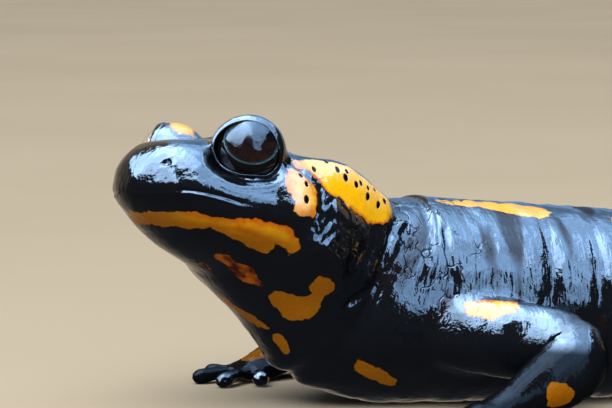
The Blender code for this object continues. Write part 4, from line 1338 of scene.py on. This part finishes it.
def skin_colour(tree, shares, settings):
    """Black skin with brown hollows, its markings and the black mouths of the glands.

    The black of the glands' mouths, the nostril and the cracks is painted shade in their pits.
    The markings are deep yellow inside and brown-orange at their rims, paler high up as a
    painted highlight, with a pinkish painted highlight on the cheek, darker as painted shade
    under the chin and on the underside, and mottled at the throat.
    """
    depth = add_node(tree, "MapRange", {
        "Value": shares["edge"], "From Min": 0.0, "From Max": shares["rim"]},
        interpolation_type=SOFT)[0]
    blotches = lay_tints(tree, settings.throat_dark, ((shares["mottled"], settings.throat),))
    # Over the yellow lie a painted highlight high up and on the cheek, and painted shade under the
    # chin and on the underside.
    yellow = lay_tints(tree, settings.rim, (
        (depth, settings.yellow), (shares["pale"], settings.pale_yellow),
        (shares["highlight_above"], settings.highlight_yellow), (shares["cheek_highlight"], settings.cheek_highlight),
        (shares["chin_shade"], settings.chin_shade), (shares["under"], settings.shaded_yellow),
        (shares["throat"], blotches), (shares["speckled"], settings.rim)))
    return lay_tints(tree, settings.black, (
        (shares["cloud"], settings.dark_blue), (shares["hollow"], settings.hollow),
        (shares["inside"], yellow), (shares["dark"], settings.black)))


def skin_material(settings):
    """Wet amphibian skin: thin, black and granular under a film of water.

    The film is the coat, which mirrors the sky wherever the skin faces up. The markings are
    pigment just under the surface; their colour also carries a painted highlight high up and
    on the cheek and painted shade below.
    """
    known = bpy.data.materials.get("wet skin")
    if known:
        return known
    material, tree = new_material("wet skin")
    shares = add_shares(tree, skin_measures(tree), SKIN_ZONES, SKIN_PRODUCTS)
    # Gland mouths, nostril and cracks are painted black: painted shade in their pits.
    shares["dark"] = add_node(tree, "Math", {0: shares["pore"], 1: shares["crack"]},
                              operation="MAXIMUM")[0]
    height, bumps = 0.0, []
    for rows in (FILM_RELIEF, FLESH_RELIEF):
        for name, rise in rows:
            height = add_node(tree, "Math", {0: shares[name], 1: rise, 2: height},
                              operation="MULTIPLY_ADD")[0]
        bumps.append(add_node(tree, "Bump", {
            "Height": height, "Strength": 1.0, "Distance": MM})[0])
    film, flesh = bumps
    gloss = {name: (measure, None, WHOLE, (1.0, least), EVEN)
             for name, measure, least in (*DRIER, ("drier", "inside", settings.yellow_gloss))}
    shares = add_shares(tree, shares, gloss, {"wet": ("wet", "drier", "dull", "matt")})
    shader = add_node(tree, "BsdfPrincipled", {
        "Base Color": skin_colour(tree, shares, settings), "Roughness": 0.5,
        "Specular IOR Level": 0.0, "Coat Weight": shares["wet"], "Coat Roughness": FILM_ROUGHNESS,
        "Coat IOR": FILM_IOR, "Normal": flesh, "Coat Normal": film})
    add_node(tree, "OutputMaterial", {"Surface": shader[0]})
    return material


def eye_material(settings):
    """Wet eye under its cornea: a dark brown streaked iris and a blue-black pupil."""
    material, tree = new_material("wet eye")
    place = add_node(tree, "Attribute", attribute_name="iris_place")["Vector"]
    streaks = add_node(tree, "VectorMath", {0: place, 1: IRIS_STREAKS},
                       operation="MULTIPLY")[0]
    measures = {
        "gaze": add_node(tree, "Attribute", attribute_name="gaze")["Fac"],
        "streak": add_node(tree, "TexNoise", {
            "Vector": streaks, "Scale": 1.0, "Detail": 3.0})["Fac"]}
    pupil, limbus = settings.pupil_angle, settings.limbus_angle
    shares = add_shares(tree, measures, {
        "warm": ("streak", None, (0.4, 0.7), WHOLE, EVEN),
        "opening": ("gaze", None, (pupil + PUPIL_EDGE[0], pupil - PUPIL_EDGE[1]), WHOLE, SOFT),
        "outside": ("gaze", None, (limbus - 0.5, limbus + 1.0), WHOLE, SOFT),
        "ring": ("gaze", limbus, (1.3, 0.5), WHOLE, SOFT)}, {})
    # The ring at the cornea's edge is a painted highlight, a thin teal line.
    colour = lay_tints(tree, settings.iris, (
        (shares["warm"], settings.iris_speck), (shares["opening"], settings.pupil),
        (shares["outside"], settings.white), (shares["ring"], settings.ring)))
    shader = add_node(tree, "BsdfPrincipled", {
        "Base Color": colour, "Roughness": 0.5, "Specular IOR Level": 0.0,
        "Coat Weight": shares["outside"], "Coat Roughness": EYEBALL_ROUGHNESS,
        "Coat IOR": FILM_IOR})
    add_node(tree, "OutputMaterial", {"Surface": shader[0]})
    return material


def cornea_material():
    """Clear wet cornea: it lets all light through but what its smooth front mirrors."""
    material, tree = new_material("clear cornea")
    ripple = add_node(tree, "TexNoise", {"Vector": add_node(tree, "TexCoord")["Object"],
                                         "Scale": CORNEA_RIPPLES, "Detail": 3.0})["Fac"]
    film = add_node(tree, "Bump", {
        "Height": ripple, "Strength": 1.0, "Distance": CORNEA_RIPPLE_HEIGHT * MM})[0]
    mirror = add_node(tree, "BsdfGlossy", {"Roughness": CORNEA_ROUGHNESS, "Normal": film})[0]
    fresnel = add_node(tree, "Fresnel", {"IOR": CORNEA_IOR})[0]
    backfacing = add_node(tree, "NewGeometry")["Backfacing"]
    front = add_node(tree, "Math", {0: 1.0, 1: backfacing}, operation="SUBTRACT")[0]
    share = add_node(tree, "Math", {0: fresnel, 1: front}, operation="MULTIPLY")[0]
    clear = add_node(tree, "BsdfTransparent")[0]
    shader = add_node(tree, "MixShader", {0: share, 1: clear, 2: mirror})
    add_node(tree, "OutputMaterial", {"Surface": shader[0]})
    return material


def floor_material(settings):
    """Matt pale board, very slightly clouded."""
    material, tree = new_material("pale board")
    cloud = add_node(tree, "TexNoise", {"Vector": add_node(tree, "TexCoord")["Object"],
                                        "Scale": BOARD_CLOUDS, "Detail": 4.0})["Fac"]
    colour = lay_tints(tree, settings.floor_low, ((cloud, settings.floor_high),))
    shader = add_node(tree, "BsdfPrincipled", {
        "Base Color": colour, "Roughness": 1.0, "Specular IOR Level": 0.0})
    add_node(tree, "OutputMaterial", {"Surface": shader[0]})
    return material


def sky_measures(tree, settings):
    """What the sky's zones read: the parts of a direction, noises and the ragged height."""
    direction = add_node(tree, "TexCoord")["Generated"]
    measures = dict(zip(("sideways", "along", "up"),
                        add_node(tree, "SeparateXYZ", {0: direction})))
    ahead = (-math.sin(settings.azimuth), math.cos(settings.azimuth), 0.0)
    measures["ahead"] = add_node(tree, "VectorMath", {0: direction, 1: ahead},
                                 operation="DOT_PRODUCT")["Value"]
    for name, scale, detail in SKY_NOISES:
        measures[name] = add_node(tree, "TexNoise", {
            "Vector": direction, "Scale": scale, "Detail": detail})["Fac"]
    steps = add_shares(tree, measures, {
        name: ("sideways", None, places, (0.0, rise), SOFT)
        for name, (places, rise) in SKY_EDGE.items()}, {})
    height = measures["up"]
    for name in SKY_EDGE:
        height = add_node(tree, "Math", {0: height, 1: steps[name]}, operation="SUBTRACT")[0]
    leaves = add_node(tree, "Math", {0: measures["leaves"], 1: -0.5}, operation="ADD")[0]
    measures["ragged"] = add_node(tree, "Math", {
        0: leaves, 1: settings.edge_roughness, 2: height}, operation="MULTIPLY_ADD")[0]
    return measures


def build_world(settings):
    """Sky that only mirrors and the camera see.

    It begins at a ragged edge like that of trees, higher and lower by SKY_EDGE, is brightest
    overhead and behind the camera, and fades towards the background. Under its edge it is
    dark on the camera's side, and beyond the animal pale but for the ground right under it.
    """
    world = bpy.data.worlds.new("studio sky")
    world.use_nodes = True
    tree = world.node_tree
    tree.nodes.clear()
    edge, light = settings.sky_edge, settings.sky_light
    shares = add_shares(tree, sky_measures(tree, settings), {
        "above": ("ragged", None, (math.sin(edge), math.sin(edge + settings.sky_fade)),
                  WHOLE, SOFT),
        "clouds": ("clouds", None, (0.38, 0.64), (light * 0.7, light * 1.3), EVEN),
        "overhead": ("up", None, (0.3, 0.9), (1.0, 1.5), EVEN),
        "right": ("sideways", None, (-0.1, 0.2), (1.0, settings.right_share), SOFT),
        "fading": ("ahead", None, (0.25, 0.97), (1.0, settings.far_share), SOFT),
        "beyond": ("ahead", None, (0.35, 0.85), WHOLE, SOFT),
        "level": ("up", None, (-0.6, -0.2), WHOLE, EVEN),
    }, {"light": ("clouds", "overhead", "right", "fading"), "beyond": ("beyond", "level")})
    blue = lay_tints(tree, settings.right_sky, ((shares["right"], settings.sky),))
    low = lay_tints(tree, settings.near_ground, ((shares["beyond"], settings.far_ground),))
    ground = add_node(tree, "Background", {"Color": low})[0]
    sky = add_node(tree, "Background", {"Color": blue, "Strength": shares["light"]})[0]
    both = add_node(tree, "MixShader", {0: shares["above"], 1: ground, 2: sky})[0]
    add_node(tree, "OutputWorld", {"Surface": both})
    world.cycles_visibility.diffuse = False
    bpy.context.scene.world = world


def add_softbox(name, middle, aim, width, watts):
    """A large square light that shines on matt surfaces and shows in no mirror."""
    light = bpy.data.lights.new(name, "AREA")
    light.shape = "SQUARE"
    light.size = width
    light.energy = watts
    obj = bpy.data.objects.new(name, light)
    obj.location = middle
    obj.rotation_euler = (Vector(aim) - Vector(middle)).to_track_quat("-Z", "Y").to_euler()
    obj.visible_glossy = False
    bpy.context.scene.collection.objects.link(obj)


def add_daylight(settings):
    """Soft even light from above that reaches the whole floor and shows in no mirror."""
    light = bpy.data.lights.new("daylight", "SUN")
    light.energy = settings.daylight
    light.angle = DAYLIGHT_WIDTH
    obj = bpy.data.objects.new("daylight", light)
    obj.rotation_euler = DAYLIGHT_TURN
    obj.visible_glossy = False
    bpy.context.scene.collection.objects.link(obj)


def add_camera(settings):
    """Camera at the photo's angle, with the near eye at its place in the picture."""
    eye = box_middle("eye_left")
    azimuth, elevation = settings.azimuth, settings.elevation
    forward = Vector((-math.sin(azimuth) * math.cos(elevation),
                      math.cos(azimuth) * math.cos(elevation), -math.sin(elevation)))
    right = Vector((math.cos(azimuth), math.sin(azimuth), 0.0))
    up = right.cross(forward)
    sensor = 36.0
    pixel = settings.distance * sensor / settings.lens / PICTURE[0]
    camera = bpy.data.cameras.new("camera")
    camera.sensor_width = sensor
    camera.lens = settings.lens
    camera.clip_start = 0.01
    obj = bpy.data.objects.new("camera", camera)
    turn = Matrix((right, up, -forward)).transposed().to_4x4()
    turn.translation = (eye - forward * settings.distance
                        + right * (PICTURE[0] / 2 - EYE_IN_PICTURE[0]) * pixel
                        + up * (EYE_IN_PICTURE[1] - PICTURE[1] / 2) * pixel)
    obj.matrix_world = turn
    bpy.context.scene.collection.objects.link(obj)
    bpy.context.scene.camera = obj


class SalamanderSkinSettings(bpy.types.PropertyGroup):
    """Relief and colours of the skin."""

    groove_depth: bpy.props.FloatProperty(
        name="Costal groove", description="Depth of the upright grooves along the flank",
        default=0.00028, unit="LENGTH", subtype="DISTANCE", precision=5)
    wrinkle_depth: bpy.props.FloatProperty(
        name="Wrinkles", description="Depth of the folds of neck, trunk and elbows",
        default=0.00012, unit="LENGTH", subtype="DISTANCE", precision=5)
    granule_height: bpy.props.FloatProperty(
        name="Granules", description="Height of the skin's small bumps",
        default=0.00005, unit="LENGTH", subtype="DISTANCE", precision=5)
    black: bpy.props.FloatVectorProperty(
        name="Black", description="Ground colour of the skin",
        size=4, subtype="COLOR", default=linear_colour("#08090c"))
    dark_blue: bpy.props.FloatVectorProperty(
        name="Blue black", description="Ground colour where the skin is paler",
        size=4, subtype="COLOR", default=linear_colour("#10141b"))
    yellow: bpy.props.FloatVectorProperty(
        name="Yellow", description="Colour inside the markings",
        size=4, subtype="COLOR", default=linear_colour("#edb40c"))
    pale_yellow: bpy.props.FloatVectorProperty(
        name="Pale yellow", description="Clouds in the yellow of the markings",
        size=4, subtype="COLOR", default=linear_colour("#f2c84a"))
    # Paler yellow of the markings high on head and back: a painted highlight of the sky's sheen.
    highlight_yellow: bpy.props.FloatVectorProperty(
        name="Yellow above", description="Colour of the markings high on head and back",
        size=4, subtype="COLOR", default=linear_colour("#fbe09a"))
    # Pale pinkish painted highlight on the upper part of the cheek's marking.
    cheek_highlight: bpy.props.FloatVectorProperty(
        name="Cheek", description="Pale pinkish tint of the marking on the cheek",
        size=4, subtype="COLOR", default=linear_colour("#f2c29a"))
    rim: bpy.props.FloatVectorProperty(
        name="Rim", description="Colour of the edges of the markings",
        size=4, subtype="COLOR", default=linear_colour("#bb560e"))
    # Darker, duller marking colour under the snout: painted shade.
    chin_shade: bpy.props.FloatVectorProperty(
        name="Chin", description="Colour of the markings under the snout",
        size=4, subtype="COLOR", default=linear_colour("#b5803a"))
    throat: bpy.props.FloatVectorProperty(
        name="Throat", description="Colour of the marking in the middle of the throat",
        size=4, subtype="COLOR", default=linear_colour("#93500f"))
    throat_dark: bpy.props.FloatVectorProperty(
        name="Throat, darker", description="Dark blotches of that marking",
        size=4, subtype="COLOR", default=linear_colour("#33130c"))
    # Darker marking colour on the underside of jaw, throat and body: painted shade.
    shaded_yellow: bpy.props.FloatVectorProperty(
        name="Yellow below", description="Colour of the markings on the underside",
        size=4, subtype="COLOR", default=linear_colour("#875608"))
    hollow: bpy.props.FloatVectorProperty(
        name="Hollows", description="Ground colour in the upright folds of the trunk",
        size=4, subtype="COLOR", default=linear_colour("#231a16"))
    yellow_gloss: bpy.props.FloatProperty(
        name="Gloss on yellow", description="Share of the water film's gloss on the markings",
        default=0.55, min=0.0, max=1.0)


class SalamanderEyeSettings(bpy.types.PropertyGroup):
    """Sizes and colours of the eyes."""

    radius: bpy.props.FloatProperty(
        name="Eyeball radius", description="Radius of the eyeball",
        default=0.00272, unit="LENGTH", subtype="DISTANCE", precision=5)
    cornea_radius: bpy.props.FloatProperty(
        name="Cornea radius", description="Radius of the ball that the cornea is part of",
        default=0.00245, unit="LENGTH", subtype="DISTANCE", precision=5)
    limbus_angle: bpy.props.FloatProperty(
        name="Cornea width", description="Degrees from the gaze to the edge of the cornea",
        default=54.0)
    limbus_depth: bpy.props.FloatProperty(
        name="Cornea groove", description="Depth of the groove round the cornea",
        default=0.00001, unit="LENGTH", subtype="DISTANCE", precision=6)
    pupil_angle: bpy.props.FloatProperty(
        name="Pupil width", description="Degrees from the gaze to the edge of the pupil",
        default=14.0)
    lift: bpy.props.FloatProperty(
        name="Gaze", description="Degrees that the gaze is raised from the middle of the lids",
        default=34.5)
    pupil: bpy.props.FloatVectorProperty(
        name="Pupil", description="Colour of the pupil",
        size=4, subtype="COLOR", default=linear_colour("#0b0e16"))
    iris: bpy.props.FloatVectorProperty(
        name="Iris", description="Colour of the iris",
        size=4, subtype="COLOR", default=linear_colour("#0f0c0e"))
    iris_speck: bpy.props.FloatVectorProperty(
        name="Iris specks", description="Colour of the streaks in the iris",
        size=4, subtype="COLOR", default=linear_colour("#251411"))
    # Thin teal line at the cornea's edge: a painted highlight.
    ring: bpy.props.FloatVectorProperty(
        name="Cornea edge", description="Colour of the thin ring at the edge of the cornea",
        size=4, subtype="COLOR", default=linear_colour("#22383d"))
    white: bpy.props.FloatVectorProperty(
        name="Eyeball", description="Colour of the eyeball outside the cornea",
        size=4, subtype="COLOR", default=linear_colour("#0e0b0a"))


class SalamanderStudioSettings(bpy.types.PropertyGroup):
    """Floor, lights and camera."""

    floor_low: bpy.props.FloatVectorProperty(
        name="Floor, darker", description="Darker colour of the board",
        size=4, subtype="COLOR", default=linear_colour("#b3a792"))
    floor_high: bpy.props.FloatVectorProperty(
        name="Floor, lighter", description="Lighter colour of the board",
        size=4, subtype="COLOR", default=linear_colour("#c2b6a1"))
    sky: bpy.props.FloatVectorProperty(
        name="Sky", description="Colour of the mirrored sky",
        size=4, subtype="COLOR", default=linear_colour("#aed4ff"))
    right_sky: bpy.props.FloatVectorProperty(
        name="Right sky colour", description="Colour of the mirrored sky to the right",
        size=4, subtype="COLOR", default=linear_colour("#7fbcff"))
    near_ground: bpy.props.FloatVectorProperty(
        name="Near ground", description="Mirrored ground on the camera's side",
        size=4, subtype="COLOR", default=linear_colour("#3c4046"))
    far_ground: bpy.props.FloatVectorProperty(
        name="Far ground", description="Mirrored ground beyond the animal",
        size=4, subtype="COLOR", default=linear_colour("#b8a892"))
    sky_light: bpy.props.FloatProperty(
        name="Sky light", description="Brightness of the mirrored sky", default=18.0)
    far_share: bpy.props.FloatProperty(
        name="Far sky", description="Share of that brightness low beyond the animal",
        default=0.08)
    sky_edge: bpy.props.FloatProperty(
        name="Sky edge", description="Height where the sky begins",
        default=math.radians(47.0), unit="ROTATION")
    sky_fade: bpy.props.FloatProperty(
        name="Sky fade", description="Height over which the sky brightens",
        default=math.radians(4.0), unit="ROTATION")
    right_share: bpy.props.FloatProperty(
        name="Right sky", description="Share of the sky's brightness to the right",
        default=0.52)
    edge_roughness: bpy.props.FloatProperty(
        name="Ragged edge", description="How far the sky's edge goes up and down", default=0.25)
    daylight: bpy.props.FloatProperty(
        name="Daylight", description="Strength of the even light from above", default=3.0)
    azimuth: bpy.props.FloatProperty(
        name="Azimuth", description="Turn of the camera from the animal's left side",
        default=math.radians(-10.0), unit="ROTATION")
    elevation: bpy.props.FloatProperty(
        name="Elevation", description="How far the camera looks down",
        default=math.radians(5.0), unit="ROTATION")
    distance: bpy.props.FloatProperty(
        name="Distance", description="Camera to the near eye",
        default=0.26, unit="LENGTH", subtype="DISTANCE")
    lens: bpy.props.FloatProperty(
        name="Lens", description="Focal length in millimetres", default=191.0)


class SALAMANDER_OT_skin(bpy.types.Operator):
    """Build the skin over head, trunk, tail and legs"""

    bl_idname = "salamander.skin"
    bl_label = "Skin"

    def execute(self, context):
        scene = context.scene
        skin = build_skin(scene.salamander_skin, scene.salamander_eyes.radius / MM)
        skin.data.materials.append(skin_material(scene.salamander_skin))
        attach(skin, "root")
        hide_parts(*FLESH)
        return {"FINISHED"}


class SALAMANDER_OT_lids(bpy.types.Operator):
    """Build the lids round both eyes"""

    bl_idname = "salamander.lids"
    bl_label = "Lids"

    def execute(self, context):
        scene = context.scene
        for name, side in SIDES:
            lids = build_lids(name, side, scene.salamander_eyes.radius / MM)
            lids.data.materials.append(skin_material(scene.salamander_skin))
            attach(lids, "root")
        return {"FINISHED"}


class SALAMANDER_OT_eyes(bpy.types.Operator):
    """Build both eyes"""

    bl_idname = "salamander.eyes"
    bl_label = "Eyes"

    def execute(self, context):
        settings = context.scene.salamander_eyes
        for name, side in SIDES:
            eye = build_eye(name, side, settings)
            eye.data.materials.append(eye_material(settings))
            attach(eye, "root")
            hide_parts(f"eye_{name}")
            cornea = build_cornea(name, side, settings)
            cornea.data.materials.append(cornea_material())
            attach(cornea, "root")
        return {"FINISHED"}


class SALAMANDER_OT_studio(bpy.types.Operator):
    """Set up the floor, the sky, the lights and the camera"""

    bl_idname = "salamander.studio"
    bl_label = "Studio"

    def execute(self, context):
        settings = context.scene.salamander_studio
        corners = np.array([[-1, -1, 0], [1, -1, 0], [1, 1, 0], [-1, 1, 0]]) * FLOOR_HALF_SIZE
        floor = new_object("floor", corners, [[0, 1, 2, 3]])
        floor.data.materials.append(floor_material(settings))
        floor.visible_glossy = False
        build_world(settings)
        aim = box_middle("head")
        for name, away, width, watts in SOFTBOXES:
            add_softbox(name, aim + Vector(away), aim, width, watts)
        add_daylight(settings)
        add_camera(settings)
        context.scene.view_settings.view_transform = "Standard"
        return {"FINISHED"}


class SALAMANDER_PT_panel(bpy.types.Panel):
    """Lists the steps that build the model"""

    bl_label = "Fire salamander"
    bl_idname = "SALAMANDER_PT_panel"
    bl_space_type = "VIEW_3D"
    bl_region_type = "UI"
    bl_category = "Salamander"

    def draw(self, context):
        for operator in STEPS:
            self.layout.operator(operator.bl_idname)


SETTINGS = {"salamander_skin": SalamanderSkinSettings, "salamander_eyes": SalamanderEyeSettings,
            "salamander_studio": SalamanderStudioSettings}
STEPS = (SALAMANDER_OT_skin, SALAMANDER_OT_lids, SALAMANDER_OT_eyes, SALAMANDER_OT_studio)
CLASSES = (*SETTINGS.values(), *STEPS, SALAMANDER_PT_panel)


def register():
    """Add the classes and the scene's settings."""
    for cls in CLASSES:
        bpy.utils.register_class(cls)
    for name, cls in SETTINGS.items():
        setattr(bpy.types.Scene, name, bpy.props.PointerProperty(type=cls))


def unregister():
    """Take the scene's settings and the classes away again."""
    for name in SETTINGS:
        delattr(bpy.types.Scene, name)
    for cls in reversed(CLASSES):
        bpy.utils.unregister_class(cls)


def main():
    """Build every piece in order."""
    register()
    bpy.ops.salamander.skin()
    bpy.ops.salamander.lids()
    bpy.ops.salamander.eyes()
    bpy.ops.salamander.studio()


if __name__ == "__main__":
    main()
